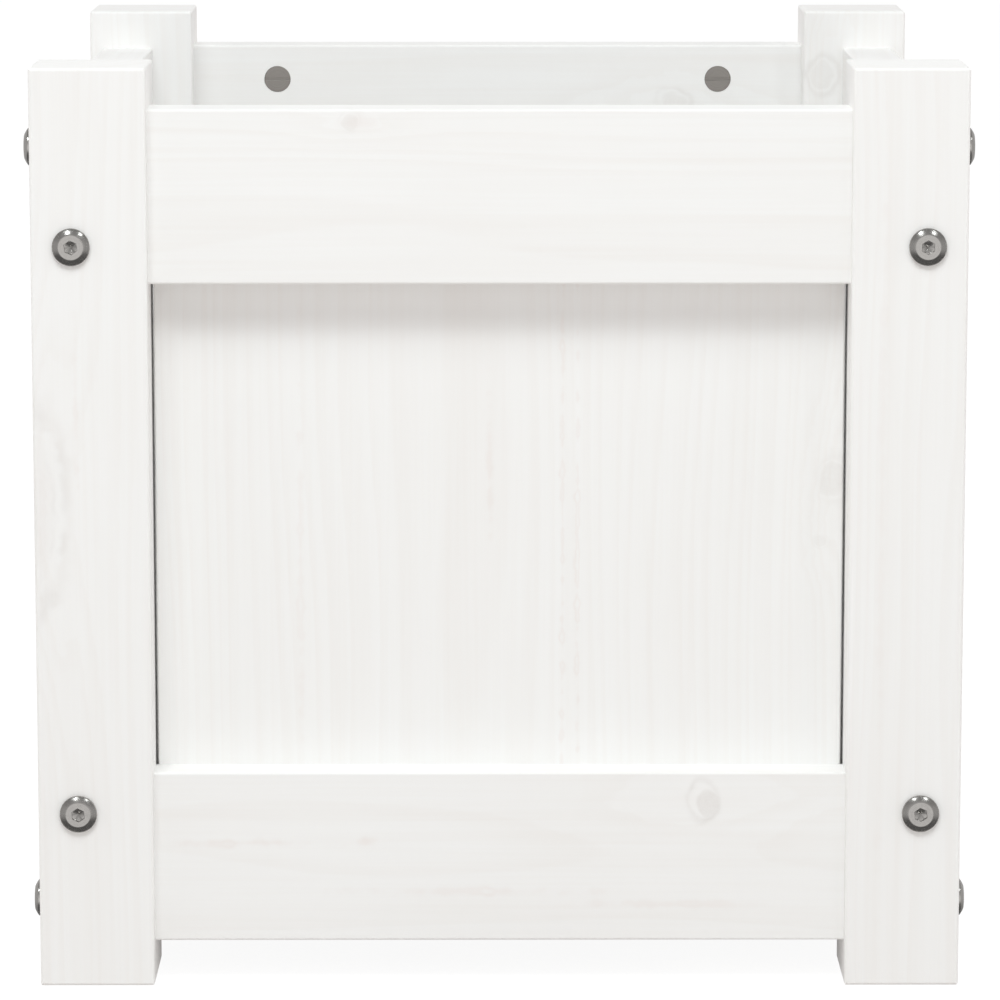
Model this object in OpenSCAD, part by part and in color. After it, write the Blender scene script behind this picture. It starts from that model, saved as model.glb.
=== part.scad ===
// Square garden planter box on four corner posts.
// Each side is a top rail, a bottom rail and a panel seated in rebates behind them. Each end of
// a rail is held to its post by a bolt in a barrel nut and by a dowel, one above the other. The
// front and back rails carry their bolts on the line away from the panel, and the left and right
// rails on the line next to it, so the bolts of two sides pass each other inside a post.
// All sizes are in millimetres. The origin is on the ground under the middle, the front faces -Y.

/* [Planter] */
// Width across the posts, left to right
planter_w = 310; // [260:1:600]
// Depth across the posts, front to back
planter_d = 310; // [260:1:600]
// Height of the posts
planter_h = 310; // [220:1:600]
// Height of the feet, which is the gap under the bottom rails
foot_h = 14.5; // [5:0.5:80]
// Height of the posts above the top rails
post_rise = 14; // [3:0.5:40]

/* [Posts] */
// Width of each square post
post_w = 38.5; // [34:0.5:50]
// Radius of the eased edges of a post
post_ease = 1; // [0.2:0.1:3]

/* [Rails] */
// Height of each rail
rail_h = 58; // [54:0.5:80]
// Thickness of each rail
rail_t = 18.5; // [18:0.5:24]
// Distance of a rail's face behind the faces of its posts
rail_setback = 5; // [2:0.5:9]
// Radius of the eased long edges of a rail
rail_ease = 0.8; // [0.2:0.1:2]
// Depth of the rebate that the panel sits in, from the rail's inner face
rebate_d = 5; // [3:0.5:6]
// Height of the rebate that the panel sits in, from the rail's edge
rebate_h = 7; // [5:0.5:7]

/* [Panels] */
// Thickness of each panel
panel_t = 12; // [8:0.5:14]
// Gap between a panel's long edge and the post beside it
panel_gap = 1; // [0.3:0.1:3]
// Gap between a panel's end and the shoulder of its rebate
panel_end_gap = 0.5; // [0.2:0.1:1.5]
// Radius of the eased edges of a panel
panel_ease = 0.5; // [0.2:0.1:2]

/* [Floor] */
// Thickness of each floor slat
slat_t = 12; // [8:0.5:15]
// Drainage gap between two floor slats
slat_gap = 5; // [3:0.5:10]
// Drop from the top of the bottom rails to the top of the slats
floor_drop = 2.5; // [0:0.5:5]
// Gap between the slats and the panels and posts round them
slat_edge_gap = 1; // [0.5:0.1:2]
// Width of each batten under the slats
batten_w = 20; // [18:0.5:30]
// Height of each batten under the slats
batten_h = 18; // [16:0.5:20]
// Gap between a batten's end and the post beside it
batten_gap = 0.5; // [0.2:0.1:2]
// Radius of the eased edges of the slats and battens
floor_ease = 0.5; // [0.2:0.1:2]

/* [Rail joints] */
// Distance between the bolt line and the dowel line of a rail
hole_pitch = 32; // [28:1:34]
// Diameter of the bolts
bolt_d = 6; // [5:1:6]
// Length of the bolts under the head
bolt_l = 80; // [78:1:95]
// Clearance of the bolt in its holes, on the diameter
bolt_play = 0.6; // [0.2:0.1:1]
// Diameter of a bolt's head
head_d = 12.5; // [11:0.5:16]
// Height of a bolt's head
head_h = 2.5; // [2:0.1:4]
// Height of the straight rim of a bolt's head
head_rim_h = 1.2; // [0.6:0.1:1.6]
// Diameter of the flat on top of a bolt's head
head_flat_d = 8.3; // [6.5:0.1:10]
// Width across the flats of the key socket in a bolt's head
socket_af = 4; // [3:0.5:5]
// Depth of the key socket
socket_depth = 2.2; // [1:0.1:3]
// Diameter of a barrel nut
nut_d = 10; // [9:0.5:10]
// Length of a barrel nut
nut_l = 16; // [14:0.5:16]
// Distance from a barrel nut's slotted end to its cross bore
nut_bore_at = 9; // [7:0.5:9]
// Depth of a barrel nut's slotted end under the rail's inner face
nut_sink = 1; // [0.2:0.1:1.5]
// Distance of a barrel nut from the rail's end
nut_in = 32; // [20:1:33]
// Width of the screwdriver slot in a barrel nut
nut_slot_w = 1.2; // [0.6:0.1:2]
// Depth of the screwdriver slot in a barrel nut
nut_slot_depth = 1.5; // [0.5:0.1:2.5]
// Diameter of the dowels
dowel_d = 8; // [6:1:8]
// Length of the dowels
dowel_l = 30; // [20:1:34]
// Chamfer on both ends of a dowel
dowel_chamfer = 1; // [0.3:0.1:2]

/* [Screws and pins] */
// Diameter of the floor screws
screw_d = 4; // [3:0.5:5]
// Diameter of a floor screw's countersunk head
screw_head_d = 8; // [6.5:0.5:9]
// Length of the screws through the slats
slat_screw_l = 25; // [18:1:28]
// Distance of the slat screws from the slat's end
slat_screw_in = 6; // [5:0.5:8]
// Distance of the slat screws from the notch for the post, along the slat's end
slat_screw_side_in = 5; // [4:0.5:8]
// Length of the screws through the battens
batten_screw_l = 30; // [25:1:34]
// Diameter of the pins that hold the panels
pin_d = 1.6; // [1.2:0.1:2]
// Diameter of a panel pin's head
pin_head_d = 3.2; // [2.6:0.1:4]
// Thickness of a panel pin's head
pin_head_h = 0.8; // [0.5:0.1:1.2]
// Length of the panel pins
pin_l = 20; // [16:1:24]
// Distance of the outer panel pins from the panel's long edge
pin_in = 35; // [20:1:60]

/* [Hidden] */
$fn = 48;
// Clearance round a piece that fits closely in its hole
fit = 0.05;
// Clearance past the end of a bolt, dowel, screw or pin in a blind hole
end_play = 0.5;
// Overshoot of a cut past the surface that it opens
over = 1;

// The four sides, each a quarter turn anticlockwise from the one before
SIDES = ["front", "right", "back", "left"];
function turns(side) = search([side], SIDES)[0];
function runs_across(side) = side == "front" || side == "back";
// The two rails of a side
LEVELS = ["bottom", "top"];
// The two ends of a rail, seen from outside
ENDS = [-1, 1];
// The floor slats, from the left
SLATS = 4;

// Finishes
STAIN = [0.95, 0.94, 0.92];
STEEL = [0.72, 0.71, 0.70];
BEECH = [0.85, 0.70, 0.52];

// Distance from the middle of the planter to the outer face of the posts on a side
function reach(side) = (runs_across(side) ? planter_d : planter_w) / 2;
// Length of a side, across its two posts
function span(side) = runs_across(side) ? planter_w : planter_d;
// Length of a side between its posts
function rail_l(side) = span(side) - 2 * post_w;
// Y of a side's rails and panel, drawn on the front
function rail_outer_y(side) = rail_setback - reach(side);
function rail_inner_y(side) = rail_outer_y(side) + rail_t;
function panel_outer_y(side) = rail_inner_y(side) - rebate_d;
function panel_inner_y(side) = panel_outer_y(side) + panel_t;
function panel_w(side) = rail_l(side) - 2 * panel_gap;
// Y of the line that holds the bolts and dowels, drawn on the front
function joint_y(side) = rail_inner_y(side) - nut_sink - nut_bore_at;
// Bottom of a rail
function rail_z(level) = level == "top" ? planter_h - post_rise - rail_h : foot_h;
// The rail edge that faces the panel, and the direction from there into the rail
function panel_edge_z(level) = rail_z(level) + (level == "top" ? 0 : rail_h);
function into_rail(level) = level == "top" ? 1 : -1;
// Height of the line away from the panel, or of the line next to it
function line_z(level, away) =
    rail_z(level) + rail_h / 2 + into_rail(level) * (away ? 1 : -1) * hole_pitch / 2;
function bolt_z(side, level) = line_z(level, runs_across(side));
function dowel_z(side, level) = line_z(level, !runs_across(side));

// Panels
panel_lap = rebate_h - panel_end_gap;
panel_bottom = panel_edge_z("bottom") - panel_lap;
panel_top = panel_edge_z("top") + panel_lap;

// Floor
slat_top = panel_edge_z("bottom") - floor_drop;
batten_top = slat_top - slat_t;
batten_inner_y = rail_inner_y("front") + batten_w;
slat_l = -2 * (panel_inner_y("front") + slat_edge_gap);
floor_w = -2 * (panel_inner_y("left") + slat_edge_gap);
slat_w = (floor_w - (SLATS - 1) * slat_gap) / SLATS;
slat_step = slat_w + slat_gap;
function slat_x(n) = (n - (SLATS - 1) / 2) * slat_step;
// The square cut-out round each post, and how far it reaches into the side of an outer slat
notch_w = post_w + 2 * slat_edge_gap;
notch_depth = floor_w / 2 - (planter_w - post_w - notch_w) / 2;
slat_screw_y = slat_l / 2 - slat_screw_in;
slat_screw_x = slat_w / 2 - notch_depth - slat_screw_side_in;

// Bolt head: the dome is a slice of a ball that meets the rim and the flat
head_dome_drop = (pow(head_d / 2, 2) + pow(head_rim_h, 2) - pow(head_flat_d / 2, 2)
    - pow(head_h, 2)) / (2 * (head_h - head_rim_h));
head_dome_r = norm([head_d / 2, head_rim_h + head_dome_drop]);

// ---- Placing ----

// Turns what is drawn for the front round to another side.
module at_side(side) rotate(90 * turns(side)) children();

// Puts a bolt, drawn with its seat at z = 0 and its tip down, on the outer face of a post.
module at_bolt(side, level, end)
    at_side(side)
        translate([end * span(side) / 2, joint_y(side), bolt_z(side, level)])
            rotate([0, 90 * end, 0])
                children();

// Puts a dowel, drawn along Z about its middle, where a rail's end meets its post.
module at_dowel(side, level, end)
    at_side(side)
        translate([end * rail_l(side) / 2, joint_y(side), dowel_z(side, level)])
            rotate([0, 90, 0])
                children();

// Puts a barrel nut, drawn from z = 0 down, under the inner face of a rail.
module at_nut(side, level, end)
    at_side(side)
        translate([end * (rail_l(side) / 2 - nut_in), rail_inner_y(side), bolt_z(side, level)])
            rotate([-90, 0, 0])
                children();

// Puts the three pins of a panel's lap, drawn from z = 0 down, on the panel's inner face.
module at_pins(side, level)
    for (n = [-1, 0, 1])
        at_side(side)
            translate([
                n * (panel_w(side) / 2 - pin_in),
                panel_inner_y(side),
                panel_edge_z(level) + into_rail(level) * panel_lap / 2
            ])
                rotate([-90, 0, 0])
                    children();

// Puts the screws of a floor batten on its inner face, under the gaps between the slats.
module at_batten_screws(side)
    for (n = [1 : SLATS - 1])
        at_side(side)
            translate([slat_x(n) - slat_step / 2, batten_inner_y, batten_top - batten_h / 2])
                rotate([-90, 0, 0])
                    children();

// Puts the four screws of a floor slat on its top.
module at_slat_screws(n)
    for (x = [-1, 1], y = [-1, 1])
        translate([slat_x(n) + x * slat_screw_x, y * slat_screw_y, slat_top])
            children();

// ---- Shapes ----

// A rectangle about the middle, with rounded corners.
module eased_rect(w, h, r) {
    square([w - 2 * r, h], center = true);
    square([w, h - 2 * r], center = true);
    for (x = [-1, 1], y = [-1, 1])
        translate([x * (w / 2 - r), y * (h / 2 - r)])
            circle(r);
}

// A bar along X about the middle, with its four long edges eased and its ends cut square.
module bar(l, w, h, r)
    rotate([90, 0, 90])
        linear_extrude(l, center = true)
            eased_rect(w, h, r);

// A block about the middle with all its edges eased.
module eased_block(l, w, h, r)
    intersection() {
        bar(l, w, h, r);
        rotate(90) bar(w, l, h, r);
        linear_extrude(h, center = true) eased_rect(l, w, r);
    }

// A hole from z = 0 down, cut open at the top.
module drill(d, depth)
    translate([0, 0, -depth])
        cylinder(d = d, h = depth + over);

// A cone from z = 0 down with a point angle of 90 degrees, as a countersunk head has.
module countersink(d_bottom, d_top)
    translate([0, 0, -(d_top - d_bottom) / 2])
        cylinder(d1 = d_bottom, d2 = d_top, h = (d_top - d_bottom) / 2);

// ---- Fasteners ----

module bolt() {
    difference() {
        union() {
            translate([0, 0, -bolt_l]) cylinder(d = bolt_d, h = bolt_l + head_rim_h);
            rotate_extrude()
                intersection() {
                    square([head_d / 2, head_h]);
                    translate([0, -head_dome_drop]) circle(head_dome_r, $fn = 4 * $fn);
                }
        }
        translate([0, 0, head_h - socket_depth])
            cylinder(d = socket_af / cos(30), h = socket_depth + over, $fn = 6);
    }
}

module bolt_hole(depth) drill(bolt_d + bolt_play, depth);

module barrel_nut()
    translate([0, 0, -nut_sink])
        difference() {
            translate([0, 0, -nut_l]) cylinder(d = nut_d, h = nut_l);
            translate([0, 0, -nut_bore_at])
                rotate([0, 90, 0])
                    cylinder(d = bolt_d + 2 * fit, h = nut_d + 2 * over, center = true);
            translate([-nut_d / 2 - over, -nut_slot_w / 2, -nut_slot_depth])
                cube([nut_d + 2 * over, nut_slot_w, nut_slot_depth + over]);
        }

module nut_hole() drill(nut_d + 2 * fit, nut_sink + nut_l + fit);

module dowel() {
    cylinder(d = dowel_d, h = dowel_l - 2 * dowel_chamfer, center = true);
    for (turn = [0, 180])
        rotate([turn, 0, 0])
            translate([0, 0, dowel_l / 2 - dowel_chamfer])
                cylinder(d1 = dowel_d, d2 = dowel_d - 2 * dowel_chamfer, h = dowel_chamfer);
}

module dowel_hole()
    cylinder(d = dowel_d + 2 * fit, h = dowel_l + 2 * end_play, center = true);

module screw(l) {
    translate([0, 0, -l]) cylinder(d = screw_d, h = l - fit);
    translate([0, 0, -fit]) countersink(screw_d, screw_head_d);
}

module screw_hole(l) {
    drill(screw_d + 2 * fit, l + end_play);
    countersink(screw_d + 2 * fit, screw_head_d + 2 * fit);
}

module pin() {
    translate([0, 0, -pin_l]) cylinder(d = pin_d, h = pin_l);
    translate([0, 0, -pin_head_h]) cylinder(d = pin_head_d, h = pin_head_h);
}

module pin_hole() {
    drill(pin_d + 2 * fit, pin_l + end_play);
    drill(pin_head_d + 2 * fit, pin_head_h);
}

// ---- Boards ----

// The post at the left end of a side, which is the right end of the side before it.
module post(side, side_before)
    color(STAIN)
        difference() {
            at_side(side)
                translate([(post_w - span(side)) / 2, post_w / 2 - reach(side), planter_h / 2])
                    eased_block(post_w, post_w, planter_h, post_ease);
            for (level = LEVELS) {
                post_holes(side, level, -1);
                post_holes(side_before, level, 1);
            }
        }

module post_holes(side, level, end) {
    at_bolt(side, level, end) bolt_hole(post_w + over);
    at_dowel(side, level, end) dowel_hole();
}

module rail(side, level)
    color(STAIN)
        difference() {
            at_side(side)
                translate([0, rail_outer_y(side) + rail_t / 2, rail_z(level) + rail_h / 2])
                    bar(rail_l(side), rail_t, rail_h, rail_ease);
            rebate(side, level);
            for (end = ENDS) {
                at_bolt(side, level, end) bolt_hole(bolt_l + end_play);
                at_nut(side, level, end) nut_hole();
                at_dowel(side, level, end) dowel_hole();
            }
            at_pins(side, level) pin_hole();
            if (level == "bottom" && runs_across(side))
                at_batten_screws(side) screw_hole(batten_screw_l);
        }

// The step along a rail's inner, panel-side edge.
module rebate(side, level) {
    rebate_mid_z = panel_edge_z(level) + into_rail(level) * (rebate_h - over) / 2;
    at_side(side)
        translate([0, panel_outer_y(side) + (rebate_d + over) / 2, rebate_mid_z])
            cube([rail_l(side) + 2 * over, rebate_d + over, rebate_h + over], center = true);
}

module panel(side)
    color(STAIN)
        difference() {
            at_side(side)
                translate([0, panel_outer_y(side) + panel_t / 2, (panel_bottom + panel_top) / 2])
                    eased_block(panel_w(side), panel_t, panel_top - panel_bottom, panel_ease);
            for (level = LEVELS)
                at_pins(side, level) pin_hole();
        }

// A batten along the foot of the front or the back, which carries the slats.
module floor_batten(side)
    color(STAIN)
        difference() {
            at_side(side)
                translate([0, batten_inner_y - batten_w / 2, batten_top - batten_h / 2])
                    bar(rail_l(side) - 2 * batten_gap, batten_w, batten_h, floor_ease);
            at_batten_screws(side) screw_hole(batten_screw_l);
            for (n = [0 : SLATS - 1])
                at_slat_screws(n) screw_hole(slat_screw_l);
        }

// A floor slat. The posts stand in notches at the floor's corners.
module floor_slat(n)
    color(STAIN)
        difference() {
            translate([slat_x(n), 0, slat_top - slat_t / 2])
                eased_block(slat_w, slat_l, slat_t, floor_ease);
            at_slat_screws(n) screw_hole(slat_screw_l);
            for (x = [-1, 1], y = [-1, 1])
                translate([
                    x * (planter_w - post_w) / 2,
                    y * (planter_d - post_w) / 2,
                    slat_top - slat_t / 2
                ])
                    cube([notch_w, notch_w, slat_t + 2 * over], center = true);
        }

// ---- Groups of fasteners ----

module rail_bolts(side)
    color(STEEL)
        for (level = LEVELS, end = ENDS)
            at_bolt(side, level, end) bolt();

module rail_nuts(side)
    color(STEEL)
        for (level = LEVELS, end = ENDS)
            at_nut(side, level, end) barrel_nut();

module rail_dowels(side)
    color(BEECH)
        for (level = LEVELS, end = ENDS)
            at_dowel(side, level, end) dowel();

module panel_pins(side)
    color(STEEL)
        for (level = LEVELS)
            at_pins(side, level) pin();

module batten_screws()
    color(STEEL)
        for (side = ["front", "back"])
            at_batten_screws(side) screw(batten_screw_l);

module slat_screws()
    color(STEEL)
        for (n = [0 : SLATS - 1])
            at_slat_screws(n) screw(slat_screw_l);

post("front", "left");  // post_front_left
post("right", "front");  // post_front_right
post("back", "right");  // post_back_right
post("left", "back");  // post_back_left
rail("front", "top");  // top_rail_front
rail("back", "top");  // top_rail_back
rail("left", "top");  // top_rail_left
rail("right", "top");  // top_rail_right
rail("front", "bottom");  // bottom_rail_front
rail("back", "bottom");  // bottom_rail_back
rail("left", "bottom");  // bottom_rail_left
rail("right", "bottom");  // bottom_rail_right
panel("front");  // panel_front
panel("back");  // panel_back
panel("left");  // panel_left
panel("right");  // panel_right
floor_batten("front");  // floor_batten_front
floor_batten("back");  // floor_batten_back
floor_slat(0);  // floor_slat_left
floor_slat(1);  // floor_slat_mid_left
floor_slat(2);  // floor_slat_mid_right
floor_slat(3);  // floor_slat_right
rail_bolts("front");  // bolts_front_rails
rail_bolts("back");  // bolts_back_rails
rail_bolts("left");  // bolts_left_rails
rail_bolts("right");  // bolts_right_rails
rail_nuts("front");  // nuts_front_rails
rail_nuts("back");  // nuts_back_rails
rail_nuts("left");  // nuts_left_rails
rail_nuts("right");  // nuts_right_rails
rail_dowels("front");  // dowels_front_rails
rail_dowels("back");  // dowels_back_rails
rail_dowels("left");  // dowels_left_rails
rail_dowels("right");  // dowels_right_rails
panel_pins("front");  // pins_panel_front
panel_pins("back");  // pins_panel_back
panel_pins("left");  // pins_panel_left
panel_pins("right");  // pins_panel_right
batten_screws();
slat_screws();
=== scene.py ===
"""Looks of a square garden planter in white stained pine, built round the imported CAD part.

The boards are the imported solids, dressed in a solid pine texture whose growth rings, knots and
streaks run through each board from face to end grain. The bolts, barrel nuts, dowels, pins and
screws are made here and take the place of the plain ones.

Lengths in the classes are in millimetres and positions are in the part's own frame: the origin is
on the ground under the middle, the front faces -Y and +Z is up. Meshes are in metres.
"""

import sys

import logging
import math
from dataclasses import dataclass, field
from enum import Enum
from typing import Any, Iterable, Sequence

import bmesh
import bpy
from mathutils import Matrix, Vector


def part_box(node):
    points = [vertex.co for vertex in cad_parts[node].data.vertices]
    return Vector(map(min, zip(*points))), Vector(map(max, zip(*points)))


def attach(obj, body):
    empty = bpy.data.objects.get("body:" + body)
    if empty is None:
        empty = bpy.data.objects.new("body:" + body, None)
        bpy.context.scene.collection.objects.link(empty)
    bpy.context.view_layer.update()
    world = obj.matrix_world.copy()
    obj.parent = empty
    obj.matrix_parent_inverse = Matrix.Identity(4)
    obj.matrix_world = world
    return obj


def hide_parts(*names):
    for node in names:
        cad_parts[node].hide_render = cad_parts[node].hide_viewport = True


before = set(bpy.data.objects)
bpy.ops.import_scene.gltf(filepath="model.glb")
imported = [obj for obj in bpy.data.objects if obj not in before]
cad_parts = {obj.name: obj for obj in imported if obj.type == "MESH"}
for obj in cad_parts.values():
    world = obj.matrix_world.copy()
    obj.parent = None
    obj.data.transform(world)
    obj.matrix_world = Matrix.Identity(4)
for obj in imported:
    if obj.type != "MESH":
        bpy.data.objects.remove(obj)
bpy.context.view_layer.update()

log = logging.getLogger("planter")

MM = 0.001

# Blender's names for the kinds of node that are used most, and the places of the sockets of a Mix
# node that mixes colours: the first colour, the second and the result.
MATH = "ShaderNodeMath"
VECTOR_MATH = "ShaderNodeVectorMath"
MAP_RANGE = "ShaderNodeMapRange"
NOISE = "ShaderNodeTexNoise"
MIX = "ShaderNodeMix"
COLOUR_A, COLOUR_B, MIXED = 6, 7, 2
SMOOTH = {"interpolation_type": "SMOOTHSTEP"}

Point = tuple[float, float, float]
Colour = tuple[float, float, float, float]
Feed = bpy.types.Node | bpy.types.NodeSocket | float


class Side(Enum):
    """A side of the planter, as the quarter turns anticlockwise from the front."""

    FRONT = 0
    RIGHT = 1
    BACK = 2
    LEFT = 3

    @property
    def word(self) -> str:
        """The side's name in the names of the pieces."""
        return self.name.lower()

    @property
    def runs_across(self) -> bool:
        """True where the rails of the side run left to right."""
        return self in (Side.FRONT, Side.BACK)


class Axis(Enum):
    """A direction of the part's frame, as its index."""

    ACROSS = 0
    DEEP = 1
    UP = 2


class Mark(Enum):
    """What breaks the plain grain of a board."""

    KNOT = "knot"
    STREAK = "streak"


def linear(code: str) -> Colour:
    """Turns an sRGB hex colour to linear.

    Args:
        code: The colour, such as "#EDEBE6".

    Returns:
        Red, green, blue and an alpha of 1.
    """
    values = [int(code[i : i + 2], 16) / 255 for i in (1, 3, 5)]
    r, g, b = (v / 12.92 if v <= 0.04045 else ((v + 0.055) / 1.055) ** 2.4 for v in values)
    return (r, g, b, 1.0)


def add(
    tree: bpy.types.NodeTree, kind: str, inputs: dict[int | str, Any] | None = None, **settings: Any
) -> bpy.types.Node:
    """Adds a node with its settings and what goes into its sockets.

    Args:
        tree: The node tree that gets the node.
        kind: Blender's name for the kind of node.
        inputs: For each socket, by name or place, a value, the socket that feeds it, or the node
            whose first output does.
        settings: The node's own properties.

    Returns:
        The new node.
    """
    node = tree.nodes.new(kind)
    for name, value in settings.items():
        setattr(node, name, value)
    for key, value in (inputs or {}).items():
        source = value.outputs[0] if isinstance(value, bpy.types.Node) else value
        if isinstance(source, bpy.types.NodeSocket):
            tree.links.new(source, node.inputs[key])
        else:
            node.inputs[key].default_value = source
    return node


def new_tree(
    name: str, kind: str, takes: dict[str, Any], gives: dict[str, str]
) -> bpy.types.NodeTree:
    """Makes an empty node group with named sockets.

    Args:
        name: The group's name.
        kind: "ShaderNodeTree" or "GeometryNodeTree".
        takes: For each input, its kind of socket, or that kind and a starting value.
        gives: For each output, its kind of socket.

    Returns:
        The new group, with no node yet.
    """
    tree = bpy.data.node_groups.new(name, kind)
    for label, spec in takes.items():
        socket_kind, *start = spec if isinstance(spec, tuple) else (spec,)
        socket = tree.interface.new_socket(
            name=label, in_out="INPUT", socket_type=f"NodeSocket{socket_kind}"
        )
        if start:
            socket.default_value = start[0]
    for label, socket_kind in gives.items():
        tree.interface.new_socket(
            name=label, in_out="OUTPUT", socket_type=f"NodeSocket{socket_kind}"
        )
    return tree


def cleared(holder: bpy.types.Material | bpy.types.World) -> bpy.types.NodeTree:
    """Gives the node tree of a material or a world, emptied.

    Args:
        holder: The new material or world.

    Returns:
        Its tree, with no node in it.
    """
    holder.use_nodes = True
    holder.node_tree.nodes.clear()
    return holder.node_tree


def surface(
    tree: bpy.types.NodeTree,
    looks: dict[str, Any],
    height: Feed,
    depth: float,
    strength: float = 1.0,
) -> None:
    """Ends a material's tree with its relief, its shader and its output.

    Args:
        tree: The material's tree.
        looks: What goes into the shader's sockets.
        height: What the relief follows.
        depth: Depth of the relief.
        strength: Share of the relief that shows.
    """
    relief = add(
        tree, "ShaderNodeBump", {"Strength": strength, "Distance": depth * MM, "Height": height}
    )
    shader = add(tree, "ShaderNodeBsdfPrincipled", {**looks, "Normal": relief})
    add(tree, "ShaderNodeOutputMaterial", {"Surface": shader})


# ---- Finishes ----


@dataclass(frozen=True)
class Flaw:
    """A knot or a streak in a board.

    Attributes:
        kind: What it is.
        across: Place across the board's width, from its middle.
        along: Place along the board's grain, from its middle.
        radius: Half its width.
        stretch: Its length along the grain as a multiple of its width.
        strength: How much of the darker wood shows through the stain, 0 to 1.
        rim: The same for the ring of bark round a knot.
        lean: How far the ring of bark lies off the knot's middle, across the board and along it.
        flow: How many growth rings it bends round itself.
    """

    kind: Mark
    across: float
    along: float
    radius: float
    stretch: float = 1.25
    strength: float = 0.15
    rim: float = 0.1
    lean: tuple[float, float] = (0.5, -0.4)
    flow: float = 2.0


@dataclass(frozen=True)
class Board:
    """One board of the planter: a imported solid, and how its tree grew.

    Attributes:
        node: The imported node.
        grain: The direction of its grain.
        pith: Place of the tree's middle across the board's width and through its thickness.
        ring: Mean width of a growth ring.
        seed: Sets the board's own grain apart from the others'.
        flaws: Its knots and streaks.
    """

    node: str
    grain: Axis
    pith: tuple[float, float]
    ring: float
    seed: float
    flaws: tuple[Flaw, ...] = ()


@dataclass(frozen=True)
class StainedPine:
    """Planed pine under two coats of semi-opaque white stain, dried matt.

    The eye gets a warm white with the growth rings, pores and knots only just showing through,
    no gloss to speak of, and a faint relief where the hard latewood stands proud.

    Attributes:
        name: The start of the materials' names.
        stain: The stain where it hides the wood.
        earlywood: The wood's own colour under it.
        knotwood: The colour of knots and bark.
        pitch: The colour of resin streaks.
        show_through: Share of the wood's colour that comes through the stain.
        roughness: Roughness between the fibres and on them.
        relief: Height of the latewood over the rest.
        wander: How far a stem strays from a straight line.
        uneven_years: How many rings' widths dry and wet years push a ring about.
        long_rings: How strongly the rings show along the grain.
        end_rings: How strongly they show on the ends, which drink more stain.
        fibres: How strongly the fibres show.
        streaks: How strongly the resin-rich bands show.
        clouds: How strongly thick and thin stain shows.
        ragged: How far the edge of a knot strays, from its lowest place to its highest.
        knot_grain: How fast the grain's bend round a knot dies out along the board.
    """

    name: str = "white_stained_pine"
    stain: str = "#F8F8F7"
    earlywood: str = "#DED0C4"
    knotwood: str = "#A3948A"
    pitch: str = "#CFA08C"
    show_through: float = 0.14
    roughness: tuple[float, float] = (0.5, 0.62)
    relief: float = 0.014
    wander: float = 16.0
    uneven_years: float = 2.2
    long_rings: float = 0.34
    end_rings: float = 0.8
    fibres: float = 0.22
    streaks: float = 0.3
    clouds: float = 0.22
    ragged: float = 5.0
    knot_grain: float = 0.34

    def growth_group(self) -> bpy.types.NodeTree:
        """Gives the group that turns a place in the tree to rings, fibres and streaks.

        Returns:
            The group. It takes the place in millimetres, with the grain along Z.
        """
        found = bpy.data.node_groups.get("pine_growth")
        if found:
            return found
        tree = new_tree(
            "pine_growth",
            "ShaderNodeTree",
            {
                "Position": "Vector",
                "Pith": "Vector",
                "Ring Width": ("Float", 3.0),
                "Seed": ("Float", 0.0),
                "Deflection": ("Float", 0.0),
            },
            {"Latewood": "Float", "Fibre": "Float", "Streak": "Float", "Cloud": "Float"},
        )
        given = add(tree, "NodeGroupInput").outputs
        # The seed moves a board far off in the noises, by millimetres that share no divisor.
        far = add(
            tree, VECTOR_MATH, {0: (131.0, 79.0, 47.0), "Scale": given["Seed"]}, operation="SCALE"
        )
        here = add(tree, VECTOR_MATH, {0: given["Position"], 1: far})

        # A noise's grain is one millimetre over its scale on each axis. The stem wanders a few
        # millimetres along its length, so the rings aren't ruled lines. Fibres: real ones are
        # about 0.04 mm wide, and are drawn ten times as coarse to show. Streaks: resin-rich
        # bands some 6 mm wide. Cloud: thicker and thinner stain.
        noises: dict[str, bpy.types.Node] = {}
        for label, scale, detail in (
            ("Wander", (1 / 55, 1 / 55, 1 / 260), 1.0),
            ("Fibre", (1.3, 1.3, 0.016), 3.0),
            ("Streak", (0.16, 0.16, 0.0045), 2.0),
            ("Cloud", (0.02, 0.02, 0.012), 2.0),
        ):
            spread = add(tree, VECTOR_MATH, {0: here, 1: scale}, operation="MULTIPLY")
            noises[label] = add(tree, NOISE, {"Vector": spread, "Scale": 1.0, "Detail": detail})
        stray = add(
            tree,
            VECTOR_MATH,
            {0: noises["Wander"].outputs["Color"], 1: (0.5, 0.5, 0.5)},
            operation="SUBTRACT",
        )
        moved = add(
            tree,
            VECTOR_MATH,
            {0: stray, 1: (self.wander, self.wander, 0.0), 2: given["Position"]},
            operation="MULTIPLY_ADD",
        )
        from_pith = add(tree, VECTOR_MATH, {0: moved, 1: given["Pith"]}, operation="SUBTRACT")
        flat = add(tree, VECTOR_MATH, {0: from_pith, 1: (1.0, 1.0, 0.0)}, operation="MULTIPLY")
        radius = add(tree, VECTOR_MATH, {0: flat}, operation="LENGTH").outputs["Value"]
        years = add(tree, MATH, {0: radius, 1: given["Ring Width"]}, operation="DIVIDE")
        # Wet and dry years come and go over two or three rings, so they aren't evenly spaced.
        season = add(tree, MATH, {0: years, 1: 0.45, 2: given["Seed"]}, operation="MULTIPLY_ADD")
        climate = add(
            tree, NOISE, {"W": season, "Scale": 1.0, "Detail": 1.0}, noise_dimensions="1D"
        )
        uneven = add(
            tree,
            MATH,
            {0: climate.outputs["Fac"], 1: self.uneven_years, 2: years},
            operation="MULTIPLY_ADD",
        )
        bent = add(tree, MATH, {0: uneven, 1: given["Deflection"]})
        phase = add(tree, MATH, {0: bent}, operation="FRACT")
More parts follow.
